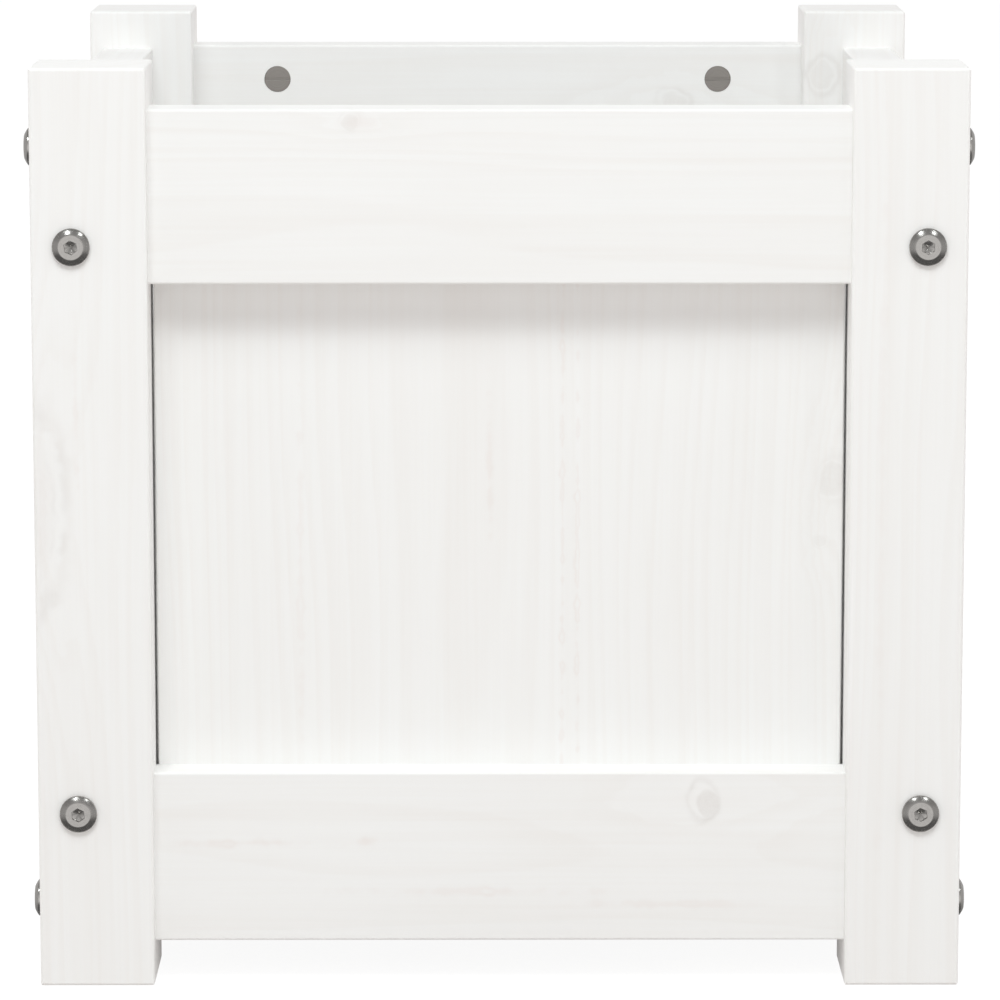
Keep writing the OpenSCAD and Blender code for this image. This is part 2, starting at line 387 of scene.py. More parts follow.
        # The latewood darkens over the second half of a ring and ends sharply at the winter.
        rise = add(tree, MAP_RANGE, {"Value": phase, "From Min": 0.3, "From Max": 0.86}, **SMOOTH)
        drop = add(
            tree,
            MAP_RANGE,
            {"Value": phase, "From Min": 0.88, "From Max": 1.0, "To Min": 1.0, "To Max": 0.0},
            **SMOOTH,
        )
        shown = {"Latewood": add(tree, MATH, {0: rise, 1: drop}, operation="MULTIPLY")}
        for label, low, high in (("Fibre", 0.35, 0.68), ("Streak", 0.5, 0.72), ("Cloud", 0.3, 0.7)):
            shown[label] = add(
                tree,
                MAP_RANGE,
                {"Value": noises[label].outputs["Fac"], "From Min": low, "From Max": high},
                **SMOOTH,
            )
        add(tree, "NodeGroupOutput", shown)
        return tree

    def flaw_group(self) -> bpy.types.NodeTree:
        """Gives the group that draws one knot or streak round its own axis through the board.

        Returns:
            The group. It takes the place in millimetres, with the grain along Z.
        """
        found = bpy.data.node_groups.get("pine_flaw")
        if found:
            return found
        tree = new_tree(
            "pine_flaw",
            "ShaderNodeTree",
            {
                "Position": "Vector",
                "Centre": "Vector",
                "Squeeze": "Vector",
                "Lean": "Vector",
                "Radius": ("Float", 4.0),
            },
            {"Flow": "Float", "Core": "Float", "Rim": "Float", "Soft": "Float"},
        )
        given = add(tree, "NodeGroupInput").outputs
        offset = add(
            tree, VECTOR_MATH, {0: given["Position"], 1: given["Centre"]}, operation="SUBTRACT"
        )
        leaning = add(tree, VECTOR_MATH, {0: offset, 1: given["Lean"]}, operation="SUBTRACT")
        # Patterns on the board's own millimetres, so that no two knots are alike: an uneven edge,
        # bark that comes and goes, and mottled pitch.
        noises: dict[str, bpy.types.NodeSocket] = {}
        for label, scale in (("Uneven", 0.14), ("Patchy", 0.07), ("Mottled", 0.7)):
            noises[label] = add(
                tree, NOISE, {"Vector": given["Position"], "Scale": scale, "Detail": 2.0}
            ).outputs["Fac"]
        wobble = add(
            tree,
            MATH,
            {0: noises["Uneven"], 1: self.ragged, 2: -self.ragged / 2},
            operation="MULTIPLY_ADD",
        )
        # How far away the branch, its bark and the bent grain are, in radii and a little uneven.
        reach: dict[str, bpy.types.Node] = {}
        for label, away, squeeze in (
            ("Branch", offset, given["Squeeze"]),
            ("Bark", leaning, given["Squeeze"]),
            ("Grain", offset, (1.0, 0.0, self.knot_grain)),
        ):
            pressed = add(tree, VECTOR_MATH, {0: away, 1: squeeze}, operation="MULTIPLY")
            length = add(tree, VECTOR_MATH, {0: pressed}, operation="LENGTH").outputs["Value"]
            rough = add(tree, MATH, {0: length, 1: wobble})
            reach[label] = add(tree, MATH, {0: rough, 1: given["Radius"]}, operation="DIVIDE")
        core = add(
            tree,
            MAP_RANGE,
            {
                "Value": reach["Branch"],
                "From Min": 0.62,
                "From Max": 0.9,
                "To Min": 1.0,
                "To Max": 0.0,
            },
            **SMOOTH,
        )
        # The branch has rings of its own, 1.2 mm apart, and is mottled with pitch.
        years = add(tree, MATH, {0: reach["Branch"], 1: given["Radius"]}, operation="MULTIPLY")
        ripple = add(tree, MATH, {0: years, 1: 5.2}, operation="MULTIPLY")
        wave = add(tree, MATH, {0: ripple}, operation="SINE")
        ringed = add(tree, MATH, {0: wave, 1: 0.06, 2: 0.6}, operation="MULTIPLY_ADD")
        grained = add(
            tree, MATH, {0: noises["Mottled"], 1: 0.66, 2: ringed}, operation="MULTIPLY_ADD"
        )
        heart = add(tree, MATH, {0: core, 1: grained}, operation="MULTIPLY")
        from_edge = add(tree, MATH, {0: reach["Bark"], 1: 1.04}, operation="SUBTRACT")
        # Bell curves: the line of the bark, the reach of the bent grain, and a soft smudge, each
        # with its width in radii.
        bells: dict[str, bpy.types.Node] = {}
        for label, value, width in (
            ("Rim", from_edge, 0.17), ("Flow", reach["Grain"], 1.9), ("Soft", reach["Branch"], 0.75)
        ):
            scaled = add(tree, MATH, {0: value, 1: width}, operation="DIVIDE")
            squared = add(tree, MATH, {0: scaled, 1: 2.0}, operation="POWER")
            negative = add(tree, MATH, {0: squared, 1: -1.0}, operation="MULTIPLY")
            bells[label] = add(tree, MATH, {0: negative}, operation="EXPONENT")
        broken = add(
            tree,
            MAP_RANGE,
            {"Value": noises["Patchy"], "From Min": 0.42, "From Max": 0.58, "To Min": 0.35},
            **SMOOTH,
        )
        bark = add(tree, MATH, {0: bells["Rim"], 1: broken}, operation="MULTIPLY")
        add(
            tree,
            "NodeGroupOutput",
            {"Core": heart, "Rim": bark, "Flow": bells["Flow"], "Soft": bells["Soft"]},
        )
        return tree

    def material(self, board: Board) -> bpy.types.Material:
        """Makes the finish of one board.

        Args:
            board: The board, whose packed box says how it lies.

        Returns:
            The material, on Object coordinates.
        """
        low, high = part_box(board.node)
        middle = (low + high) / 2
        sizes = high - low
        wide, thin = sorted(
            (a for a in range(3) if a != board.grain.value), key=lambda a: -round(sizes[a], 4)
        )

        mat = bpy.data.materials.new(f"{self.name}_{board.node}")
        tree = cleared(mat)
        coords = add(tree, "ShaderNodeTexCoord")
        local = add(
            tree,
            "ShaderNodeMapping",
            {
                "Vector": coords.outputs["Object"],
                "Location": tuple(-middle / MM),
                "Scale": (1 / MM, 1 / MM, 1 / MM),
            },
        )
        parts = add(tree, "ShaderNodeSeparateXYZ", {0: local}).outputs
        place = add(
            tree,
            "ShaderNodeCombineXYZ",
            {0: parts[wide], 1: parts[thin], 2: parts[board.grain.value]},
        )
        bend, knots, streaks = self._flaws(tree, board, place)
        growth = add(
            tree,
            "ShaderNodeGroup",
            {
                "Position": place,
                "Pith": (*board.pith, 0.0),
                "Ring Width": board.ring,
                "Seed": board.seed,
                "Deflection": bend,
            },
            node_tree=self.growth_group(),
        ).outputs

        # End grain drinks more stain: its rings show a little more than those of the faces.
        facing = add(tree, "ShaderNodeSeparateXYZ", {0: coords.outputs["Normal"]})
        endways = add(tree, MATH, {0: facing.outputs[board.grain.value]}, operation="ABSOLUTE")
        end = add(
            tree,
            MAP_RANGE,
            {
                "Value": endways,
                "From Min": 0.6,
                "From Max": 0.95,
                "To Min": self.long_rings,
                "To Max": self.end_rings,
            },
        )
        tone = add(tree, MATH, {0: growth["Latewood"], 1: end}, operation="MULTIPLY")
        for label, share in (
            ("Fibre", self.fibres), ("Streak", self.streaks), ("Cloud", self.clouds)
        ):
            tone = add(tree, MATH, {0: growth[label], 1: share, 2: tone}, operation="MULTIPLY_ADD")
        amount = add(
            tree, MATH, {0: tone, 1: self.show_through}, operation="MULTIPLY", use_clamp=True
        )
        colour: Any = linear(self.stain)
        for share, wood in (
            (amount, self.earlywood), (knots, self.knotwood), (streaks, self.pitch)
        ):
            colour = add(
                tree, MIX, {0: share, COLOUR_A: colour, COLOUR_B: linear(wood)}, data_type="RGBA"
            ).outputs[MIXED]
        gloss = add(
            tree,
            MAP_RANGE,
            {"Value": growth["Fibre"], "To Min": self.roughness[0], "To Max": self.roughness[1]},
        )
        # The pores between the fibres lie a third of the relief below the earlywood.
        proud = add(
            tree,
            MATH,
            {0: growth["Fibre"], 1: -0.35, 2: growth["Latewood"]},
            operation="MULTIPLY_ADD",
        )
        surface(tree, {"Base Color": colour, "Roughness": gloss, "IOR": 1.5}, proud, self.relief)
        return mat

    def _flaws(
        self, tree: bpy.types.NodeTree, board: Board, place: Feed
    ) -> tuple[Feed, Feed, Feed]:
        """Adds a board's knots and streaks.

        Args:
            tree: The board's material.
            board: The board.
            place: The place in the board, in millimetres with the grain along Z.

        Returns:
            How far the rings bend, the knots' darkness and the streaks' darkness, each as a
            node, or as nought where the board has none.
        """
        bend: Feed = 0.0
        knots: Feed = 0.0
        streaks: Feed = 0.0
        for flaw in board.flaws:
            spot = add(
                tree,
                "ShaderNodeGroup",
                {
                    "Position": place,
                    "Centre": (flaw.across, 0.0, flaw.along),
                    "Squeeze": (1.0, 0.0, 1 / flaw.stretch),
                    "Lean": (flaw.lean[0], 0.0, flaw.lean[1]),
                    "Radius": flaw.radius,
                },
                node_tree=self.flaw_group(),
            ).outputs
            if flaw.kind is Mark.STREAK:
                streaks = add(
                    tree,
                    MATH,
                    {0: spot["Soft"], 1: flaw.strength, 2: streaks},
                    operation="MULTIPLY_ADD",
                )
                continue
            for part, strength in (("Core", flaw.strength), ("Rim", flaw.rim)):
                shade = add(tree, MATH, {0: spot[part], 1: strength}, operation="MULTIPLY")
                knots = add(tree, MATH, {0: shade, 1: knots}, operation="MAXIMUM")
            bend = add(
                tree, MATH, {0: spot["Flow"], 1: flaw.flow, 2: bend}, operation="MULTIPLY_ADD"
            )
        return bend, knots, streaks


@dataclass(frozen=True)
class PlatedSteel:
    """Cold-headed steel under a thin bright zinc coat.

    The eye gets a neutral grey mirror gone soft, with faint turned rings and small dull spots.

    Attributes:
        name: The material's name.
        base: The metal's colour.
        dull: Its colour in the turned rings.
        roughness: Its roughness, from the brightest to the dullest spot.
        spots: How many dull spots there are to a millimetre.
        lathe_pitch: Spacing of the turned rings. Real ones are about 0.1 mm apart, too fine to
            show, so they are drawn three times as coarse.
        lathe_depth: Depth of the turned rings.
    """

    name: str
    base: str = "#BAB7B4"
    dull: str = "#B0ADA9"
    roughness: tuple[float, float] = (0.18, 0.3)
    spots: float = 0.9
    lathe_pitch: float = 0.3
    lathe_depth: float = 0.004

    def material(self) -> bpy.types.Material:
        """Makes the finish.

        Returns:
            The material, on Object coordinates and the pieces' own turned attribute.
        """
        mat = bpy.data.materials.new(self.name)
        tree = cleared(mat)
        coords = add(tree, "ShaderNodeTexCoord")
        spots = add(
            tree,
            NOISE,
            {"Vector": coords.outputs["Object"], "Scale": self.spots / MM, "Detail": 3.0},
        )
        lathe = add(tree, "ShaderNodeAttribute", attribute_name="turned")
        across_rings = add(
            tree,
            VECTOR_MATH,
            {0: lathe.outputs["Vector"], 1: (1 / self.lathe_pitch, 1.5, 1 / self.lathe_pitch)},
            operation="MULTIPLY",
        )
        rings = add(
            tree, NOISE, {"Vector": across_rings, "Scale": 1.0, "Detail": 2.0}
        ).outputs["Fac"]
        gloss = add(
            tree,
            MAP_RANGE,
            {
                "Value": spots.outputs["Fac"],
                "From Min": 0.3,
                "From Max": 0.75,
                "To Min": self.roughness[0],
                "To Max": self.roughness[1],
            },
        )
        tint = add(
            tree,
            MIX,
            {0: rings, COLOUR_A: linear(self.base), COLOUR_B: linear(self.dull)},
            data_type="RGBA",
        )
        looks = {"Base Color": tint.outputs[MIXED], "Metallic": 1.0, "Roughness": gloss}
        surface(tree, looks, rings, self.lathe_depth)
        return mat


@dataclass(frozen=True)
class RawBeech:
    """Steamed beech, turned and fluted, with no coating.

    The eye gets an even pinkish tan with short darker flecks along the dowel, quite dull.

    Attributes:
        name: The material's name.
        wood: The wood's colour.
        fleck: The colour of its rays, which show as flecks.
        roughness: Its roughness.
        relief: Depth of the flecks.
    """

    name: str = "raw_beech"
    wood: str = "#D9B78F"
    fleck: str = "#B98D64"
    roughness: float = 0.62
    relief: float = 0.05

    def material(self) -> bpy.types.Material:
        """Makes the finish.

        Returns:
            The material, with flecks 0.3 mm wide and 2 mm long on the turned attribute.
        """
        mat = bpy.data.materials.new(self.name)
        tree = cleared(mat)
        lathe = add(tree, "ShaderNodeAttribute", attribute_name="turned")
        along = add(
            tree,
            VECTOR_MATH,
            {0: lathe.outputs["Vector"], 1: (3.0, 80.0, 0.5)},
            operation="MULTIPLY",
        )
        flecks = add(tree, NOISE, {"Vector": along, "Scale": 1.0, "Detail": 2.0}).outputs["Fac"]
        share = add(tree, MAP_RANGE, {"Value": flecks, "From Min": 0.52, "From Max": 0.66})
        colour = add(
            tree,
            MIX,
            {0: share, COLOUR_A: linear(self.wood), COLOUR_B: linear(self.fleck)},
            data_type="RGBA",
        )
        looks = {"Base Color": colour.outputs[MIXED], "Roughness": self.roughness}
        surface(tree, looks, flecks, self.relief, strength=0.5)
        return mat


# ---- Turned and carved shapes ----

# Faces that meet at up to this angle in degrees are shaded as one surface.
SMOOTH_TO = 22.0
# Depth of a dowel's pressed flutes.
FLUTE_DEPTH = 0.3


@dataclass(frozen=True)
class Station:
    """One ring of a turned shape.

    Attributes:
        radius: Its radius, or half its width across the flats. Nought closes the shape.
        height: Its height.
        flats: Number of flats, or nought for a round ring.
        flutes: Number of flutes cut into it.
    """

    radius: float
    height: float
    flats: int = 0
    flutes: int = 0

    def radius_at(self, angle: float) -> float:
        """Gives the radius in a direction.

        Args:
            angle: The direction, in radians.

        Returns:
            The radius there, in millimetres.
        """
        if self.flats:
            step = math.tau / self.flats
            return self.radius / math.cos((angle % step) - step / 2)
        if self.flutes:
            return self.radius - FLUTE_DEPTH * max(0.0, math.cos(self.flutes * angle)) ** 2
        return self.radius


def drawn(name: str, bm: bmesh.types.BMesh) -> bpy.types.Mesh:
    """Turns a drawn shape to a mesh whose faces point outwards, and frees the drawing.

    Args:
        name: The mesh's name.
        bm: The drawing.

    Returns:
        The mesh.
    """
    bmesh.ops.recalc_face_normals(bm, faces=bm.faces)
    mesh = bpy.data.meshes.new(name)
    bm.to_mesh(mesh)
    bm.free()
    return mesh


def turned(
    name: str, stations: Sequence[Station], segments: int, smooth_to: float = SMOOTH_TO
) -> bpy.types.Mesh:
    """Turns a closed shape about Z.

    Args:
        name: The mesh's name.
        stations: Its rings from one end of the shape to the other.
        segments: Number of steps round it.
        smooth_to: Faces that meet at up to this angle in degrees are shaded as one surface.

    Returns:
        The mesh, with a "turned" attribute: radius in mm, turns round the axis, height in mm.
    """
    bm = bmesh.new()
    layer = bm.verts.layers.float_vector.new("turned")
    rows: list[list[bmesh.types.BMVert]] = []
    for station in stations:
        row = []
        for step in range(segments if station.radius else 1):
            angle = math.tau * step / segments
            r = station.radius_at(angle) if station.radius else 0.0
            vert = bm.verts.new(
                (r * math.cos(angle) * MM, r * math.sin(angle) * MM, station.height * MM)
            )
            vert[layer] = (r, step / segments, station.height)
            row.append(vert)
        rows.append(row)
    for low, high in zip(rows, rows[1:]):
        for step in range(segments):
            after = (step + 1) % segments
            corners = [low[step % len(low)], low[after % len(low)]]
            corners += [high[after % len(high)], high[step % len(high)]]
            bm.faces.new(list(dict.fromkeys(corners)))
    mesh = drawn(name, bm)
    mesh.shade_smooth()
    mesh.set_sharp_from_angle(angle=math.radians(smooth_to))
    return mesh


def tapered_block(name: str, top: Point, bottom: Point) -> bpy.types.Mesh:
    """Makes a block whose top and bottom differ in size.

    Args:
        name: The mesh's name.
        top: Size of the top along X and Y, and its height.
        bottom: Size of the bottom along X and Y, and its height.

    Returns:
        The mesh, about the Z axis.
    """
    bm = bmesh.new()
    for wide, deep, height in (top, bottom):
        for x, y in ((-1, -1), (1, -1), (1, 1), (-1, 1)):
            bm.verts.new((x * wide / 2 * MM, y * deep / 2 * MM, height * MM))
    bmesh.ops.convex_hull(bm, input=list(bm.verts))
    return drawn(name, bm)


def on_bench(name: str, mesh: bpy.types.Mesh) -> bpy.types.Object:
    """Puts a mesh in the scene as an object.

    Args:
        name: The object's name.
        mesh: Its mesh.

    Returns:
        The object, at the origin.
    """
    obj = bpy.data.objects.new(name, mesh)
    bpy.context.scene.collection.objects.link(obj)
    return obj


def finished_mesh(obj: bpy.types.Object, name: str) -> bpy.types.Mesh:
    """Takes the mesh that an object's modifiers give.

    Args:
        obj: The object with its modifiers.
        name: The name of the new mesh.

    Returns:
        A plain mesh that keeps nothing of the modifiers.
    """
    bpy.context.view_layer.update()
    evaluated = obj.evaluated_get(bpy.context.evaluated_depsgraph_get())
    mesh = bpy.data.meshes.new_from_object(evaluated)
    mesh.name = name
    return mesh


def carve(mesh: bpy.types.Mesh, cutters: Iterable[bpy.types.Mesh]) -> bpy.types.Mesh:
    """Cuts closed shapes out of a mesh.

    Args:
        mesh: The mesh to cut.
        cutters: What is cut out. A cutter ends well clear of the face that it opens.

    Returns:
        A new mesh.
    """
    blank = on_bench("bench_blank", mesh)
    tools = [on_bench("bench_cutter", cutter) for cutter in cutters]
    for tool in tools:
        cut = blank.modifiers.new("cut", "BOOLEAN")
        cut.operation = "DIFFERENCE"
        cut.solver = "EXACT"
        cut.object = tool
    result = finished_mesh(blank, mesh.name)
    for obj in (blank, *tools):
        bpy.data.objects.remove(obj)
    result.shade_smooth()
    result.set_sharp_from_angle(angle=math.radians(SMOOTH_TO))
    return result


def run_tree(
    tree: bpy.types.NodeTree, obj: bpy.types.Object, sizes: dict[str, Any], name: str
) -> bpy.types.Mesh:
    """Runs a Geometry Nodes tree on an object and drops the object.

    Args:
        tree: The tree.
        obj: The passing object that carries it.
        sizes: The value of each named input.
        name: The name of the new mesh.

    Returns:
        The tree's result as a plain mesh.
    """
    modifier = obj.modifiers.new(tree.name, "NODES")
    modifier.node_group = tree
    for socket in tree.interface.items_tree:
        if socket.in_out == "INPUT" and socket.name in sizes:
            modifier[socket.identifier] = sizes[socket.name]
    mesh = finished_mesh(obj, name)
    bpy.data.objects.remove(obj)
    return mesh


@dataclass(frozen=True)
class Thread:
    """A rolled thread, wound round a shank by a Geometry Nodes tree.

    Attributes:
        pitch: Rise of one turn.
        crest: Radius over the crests.
        depth: Height of the ridge over the root.
        bottom: Height of its lower end.
        length: Its length along the axis.
        ridge_share: Half the ridge's width as a share of the depth, so that its foot is buried.
    """

    pitch: float
    crest: float
    depth: float
    bottom: float
    length: float
    ridge_share: float = 0.75

    def tree(self) -> bpy.types.NodeTree:
        """Gives the tree, which joins a ridge on a spiral to the shank that it is given.

        Returns:
            The tree, with the thread's sizes as its inputs, in metres.
        """
        found = bpy.data.node_groups.get("rolled_thread")
        if found:
            return found
        tree = new_tree(
            "rolled_thread",
            "GeometryNodeTree",
            {
                "Shank": "Geometry",
                "Turns": ("Float", 10.0),
                "Line Radius": ("Float", 0.003),
                "Length": ("Float", 0.03),
                "Bottom": ("Float", -0.03),
                "Ridge Radius": ("Float", 0.0004),
                "Steps a Turn": ("Int", 18),
                "Finish": "Material",
            },
            {"Screw": "Geometry"},
        )
        given = add(tree, "NodeGroupInput").outputs
        spiral = add(
            tree,
            "GeometryNodeCurveSpiral",
            {
                "Resolution": given["Steps a Turn"],
                "Rotations": given["Turns"],
                "Start Radius": given["Line Radius"],
                "End Radius": given["Line Radius"],
                "Height": given["Length"],
            },
        )
        upright = add(tree, "GeometryNodeSetCurveNormal", {"Curve": spiral}, mode="Z_UP")
        ridge = add(
            tree,
            "GeometryNodeCurvePrimitiveCircle",
            {"Resolution": 6, "Radius": given["Ridge Radius"]},
        )
        wound = add(
            tree,
            "GeometryNodeCurveToMesh",
            {"Curve": upright, "Profile Curve": ridge, "Fill Caps": True},
        )
        lift = add(tree, "ShaderNodeCombineXYZ", {"Z": given["Bottom"]})
        placed = add(tree, "GeometryNodeTransform", {"Geometry": wound, "Translation": lift})
        joined = add(tree, "GeometryNodeJoinGeometry", {0: given["Shank"]})
        tree.links.new(placed.outputs[0], joined.inputs[0])
        plain = add(tree, "GeometryNodeRealizeInstances", {0: joined})
        dressed = add(
            tree, "GeometryNodeSetMaterial", {"Geometry": plain, "Material": given["Finish"]}
        )
        add(tree, "NodeGroupOutput", {"Screw": dressed})
        return tree

    def wind(self, shank: bpy.types.Mesh, finish: bpy.types.Material) -> bpy.types.Mesh:
        """Winds the thread round a shank.

        Args:
            shank: The shank, which is replaced.
            finish: The metal's finish.

        Returns:
            The shank with its thread, as one mesh.
        """
        ridge = self.depth * self.ridge_share
        sizes = {
            "Turns": self.length / self.pitch,
            "Line Radius": (self.crest - ridge) * MM,
            "Length": self.length * MM,
            "Bottom": self.bottom * MM,
            "Ridge Radius": ridge * MM,
            "Finish": finish,
        }
        return run_tree(self.tree(), on_bench("bench_shank", shank), sizes, shank.name)


# ---- Fasteners ----


@dataclass
class DomedBolt:
    """A furniture bolt with a low domed head and a hexagonal key socket.

    Attributes:
        diameter: Diameter of the shank.
        length: Length under the head.
        head: Diameter of the head.
        head_height: Height of the head.
        rim: Height of the head's straight rim.
        crown: Diameter of the flat on top.
        dome_steps: Number of steps in the dome's curve.
        socket: Width of the key socket across its flats.
        socket_depth: Depth of the socket, to the point of its drilled bottom.
        cone: Height of that drilled bottom.
        thread: The thread at the tip.
    """

    diameter: float = 6.0
    length: float = 80.0
    head: float = 12.5
    head_height: float = 2.5
    rim: float = 1.2
    crown: float = 8.3
    dome_steps: int = 11
    socket: float = 4.0
    socket_depth: float = 2.2
    cone: float = 1.0
    thread: Thread = Thread(pitch=1.0, crest=3.0, depth=0.54, bottom=-79.2, length=44.0)

    def head_stations(self) -> list[Station]:
        """Gives the rings of the head, from under its rim to the bottom of the socket.

        Returns:
            The rings. The dome is part of a ball that meets the rim and the crown.
        """
        edge, top = self.head / 2, self.crown / 2
        rise = self.head_height - self.rim
        drop = (edge**2 + self.rim**2 - top**2 - self.head_height**2) / (2 * rise)
        ball = math.hypot(edge, self.rim + drop)
        low, high = math.asin(edge / ball), math.asin(top / ball)
        rows = [Station(edge - 0.2, 0.0), Station(edge - 0.06, 0.06), Station(edge, 0.2)]
        rows += [Station(edge, self.rim - 0.14), Station(edge - 0.03, self.rim - 0.02)]
        for step in range(1, self.dome_steps):
            angle = low + (high - low) * step / self.dome_steps
            rows.append(Station(ball * math.sin(angle), ball * math.cos(angle) - drop))
        key, deep = self.socket / 2, self.head_height - self.socket_depth
        rows += [
            Station(top + 0.03, self.head_height - 0.03),
            Station(top - 0.05, self.head_height),
            Station(top - 0.2, self.head_height),
            Station(key + 0.12, self.head_height, flats=6),
            Station(key, self.head_height - 0.12, flats=6),
            Station(key - 0.02, deep + self.cone + 0.02, flats=6),
            Station(key - 0.06, deep + self.cone),
            Station(0.14, deep + 0.07),
            Station(0.0, deep),
        ]
        return rows

    def mesh(self, finish: bpy.types.Material) -> bpy.types.Mesh:
        """Makes the bolt.

        Args:
            finish: The metal's finish.

        Returns:
            The bolt, with its seat at nought and its tip down.
        """
        shank, root = self.diameter / 2, self.diameter / 2 - self.thread.depth
        plain_from = self.thread.bottom + self.thread.length + 0.6
        stations = [
            Station(0.0, -self.length),
            Station(root - 0.5, -self.length),
            Station(root, 0.5 - self.length),
            Station(root, plain_from - 0.5),
            Station(shank, plain_from),
            Station(shank, 0.0),
            *self.head_stations(),
        ]
        return self.thread.wind(turned("domed_bolt", stations, 72), finish)


@dataclass
class BarrelNut:
    """A cross-bored barrel nut with a screwdriver slot in the end that shows.

    Attributes:
        diameter: Its diameter.
        length: Its length.
        chamfer: Chamfer on both ends.
        bore: Diameter of the cross bore.
        bore_at: Distance of the bore from the slotted end.
        slot: Width and depth of the slot.
        flare: What its eased mouth adds to the slot's width half a millimetre above the end, and
            what that has come down to 0.3 mm below it.
    """

    diameter: float = 10.0
    length: float = 16.0
    chamfer: float = 0.15
    bore: float = 6.1
    bore_at: float = 9.0
    slot: tuple[float, float] = (1.0, 0.8)
    flare: tuple[float, float] = (2.15, -0.65)

    def mesh(self, finish: bpy.types.Material) -> bpy.types.Mesh:
        """Makes the nut.

        Args:
            finish: The metal's finish.

        Returns:
            The nut, with its slotted end at nought and its slot along X.
        """
        r, c = self.diameter / 2, self.chamfer
        body = turned(
            "barrel_nut",
            [
                Station(0.0, -self.length),
                Station(r - c, -self.length),
                Station(r, c - self.length),
                Station(r, -c),
                Station(r - c, 0.0),
                Station(0.0, 0.0),
            ],
            64,
        )
        wide, deep = self.slot
        over, under = self.flare
        long, hole = 2 * self.diameter, self.bore / 2
        slot = tapered_block("slot", (long, wide, 1.0), (long, wide, -deep))
        flare = tapered_block("flare", (long, wide + over, 0.5), (long, wide + under, -0.3))
        reach = 0.8 * self.diameter
        drill = turned(
            "drill",
            [
                Station(0.0, -reach),
                Station(hole, -reach),
                Station(hole, reach),
                Station(0.0, reach),
            ],
            48,
        )
        crosswise = Matrix.Rotation(math.pi / 2, 4, "Y")
        drill.transform(Matrix.Translation((0, 0, -self.bore_at * MM)) @ crosswise)
        mesh = carve(body, [slot, flare, drill])
        mesh.materials.clear()
        mesh.materials.append(finish)
        return mesh


@dataclass
class FlutedDowel:
    """A beech dowel with pressed flutes that let the glue and air past.

    Attributes:
        diameter: Its diameter.
        length: Its length.
        chamfer: Chamfer on both ends.
        flutes: Number of flutes.
    """

    diameter: float = 8.0
    length: float = 30.0
    chamfer: float = 1.0
    flutes: int = 16

    def mesh(self, finish: bpy.types.Material) -> bpy.types.Mesh:
        """Makes the dowel.

        Args:
            finish: The wood's finish.

        Returns:
            The dowel, about its middle and along Z.
        """
        r, half, c = self.diameter / 2, self.length / 2, self.chamfer
        mesh = turned(
            "fluted_dowel",
            [
                Station(0.0, -half),
                Station(r - c, -half),
                Station(r, c - half, flutes=self.flutes),
                Station(r, half - c, flutes=self.flutes),
                Station(r - c, half),
                Station(0.0, half),
            ],
            self.flutes * 6,
            35.0,
        )
        mesh.materials.append(finish)
        return mesh


@dataclass
class FloorScrew:
    """A countersunk wood screw with a cross recess.

    Attributes:
        length: Its length.
        diameter: Diameter over the thread.
        root: Diameter of the thread's root, as a share of that.
        neck: Diameter of the plain neck, as a share of the same.
        head: Diameter of the head.
        sink: Depth of the head under the surface.
        recess: Width over the cross at the top, its blade and its depth.
    """

    length: float
    diameter: float = 4.0
    root: float = 0.68
    neck: float = 0.86
    head: float = 8.0
    sink: float = 0.05
    recess: Point = (4.4, 0.95, 2.4)

    def mesh(self, finish: bpy.types.Material) -> bpy.types.Mesh:
        """Makes the screw.

        Args:
            finish: The metal's finish.

        Returns:
            The screw, with the surface at nought and its tip down.
        """
        crest, edge = self.diameter / 2, self.head / 2
        root, neck = crest * self.root, crest * self.neck
        body = turned(
            f"floor_screw_{self.length:.0f}",
            [
                Station(0.0, -self.length),
                Station(root * 0.5, 2.0 - self.length),
                Station(root, 4.5 - self.length),
                Station(root, -7.0),
                Station(neck, -6.4),
                Station(neck, neck - edge - self.sink),
                Station(edge - 0.12, -0.12 - self.sink),
                Station(edge - 0.02, -0.03 - self.sink),
                Station(edge - 0.12, -self.sink),
                Station(0.0, -self.sink),
            ],
            48,
        )
        wide, blade, deep = self.recess
        # The cutter stands 0.4 mm proud of the head, and each arm narrows towards its tip.
        arm = tapered_block("arm", (wide * 1.16, blade, 0.4), (wide * 0.3, blade * 0.6, -deep))
        other = arm.copy()
        other.transform(Matrix.Rotation(math.pi / 2, 4, "Z"))
        thread = Thread(
            pitch=1.8,
            crest=crest,
            depth=crest - root,
            bottom=3.6 - self.length,
            length=self.length - 11.0,
        )
        return thread.wind(carve(body, [arm, other]), finish)


@dataclass
class PanelPin:
    """A wire pin with a flat head.

    Attributes:
        diameter: Diameter of the wire.
        length: Its length over all.
        point: Length of the point.
        head: Diameter of the head.
        head_height: Thickness of the head.
    """

    diameter: float = 1.6
    length: float = 20.0
    point: float = 2.2
    head: float = 3.2
    head_height: float = 0.8

    def mesh(self, finish: bpy.types.Material) -> bpy.types.Mesh:
        """Makes the pin.

        Args:
            finish: The metal's finish.

        Returns:
            The pin, with its head's top at nought and its tip down.
        """
        wire, edge = self.diameter / 2, self.head / 2
        mesh = turned(
            "panel_pin",
            [
                Station(0.0, -self.length),
                Station(wire, self.point - self.length),
                Station(wire, -self.head_height),
                Station(edge - 0.12, -self.head_height),
                Station(edge, 0.15 - self.head_height),
                Station(edge, -0.15),
                Station(edge - 0.15, 0.0),
                Station(0.35, -0.02),
                Station(0.0, -0.14),
            ],
            28,
        )
        mesh.materials.append(finish)
        return mesh


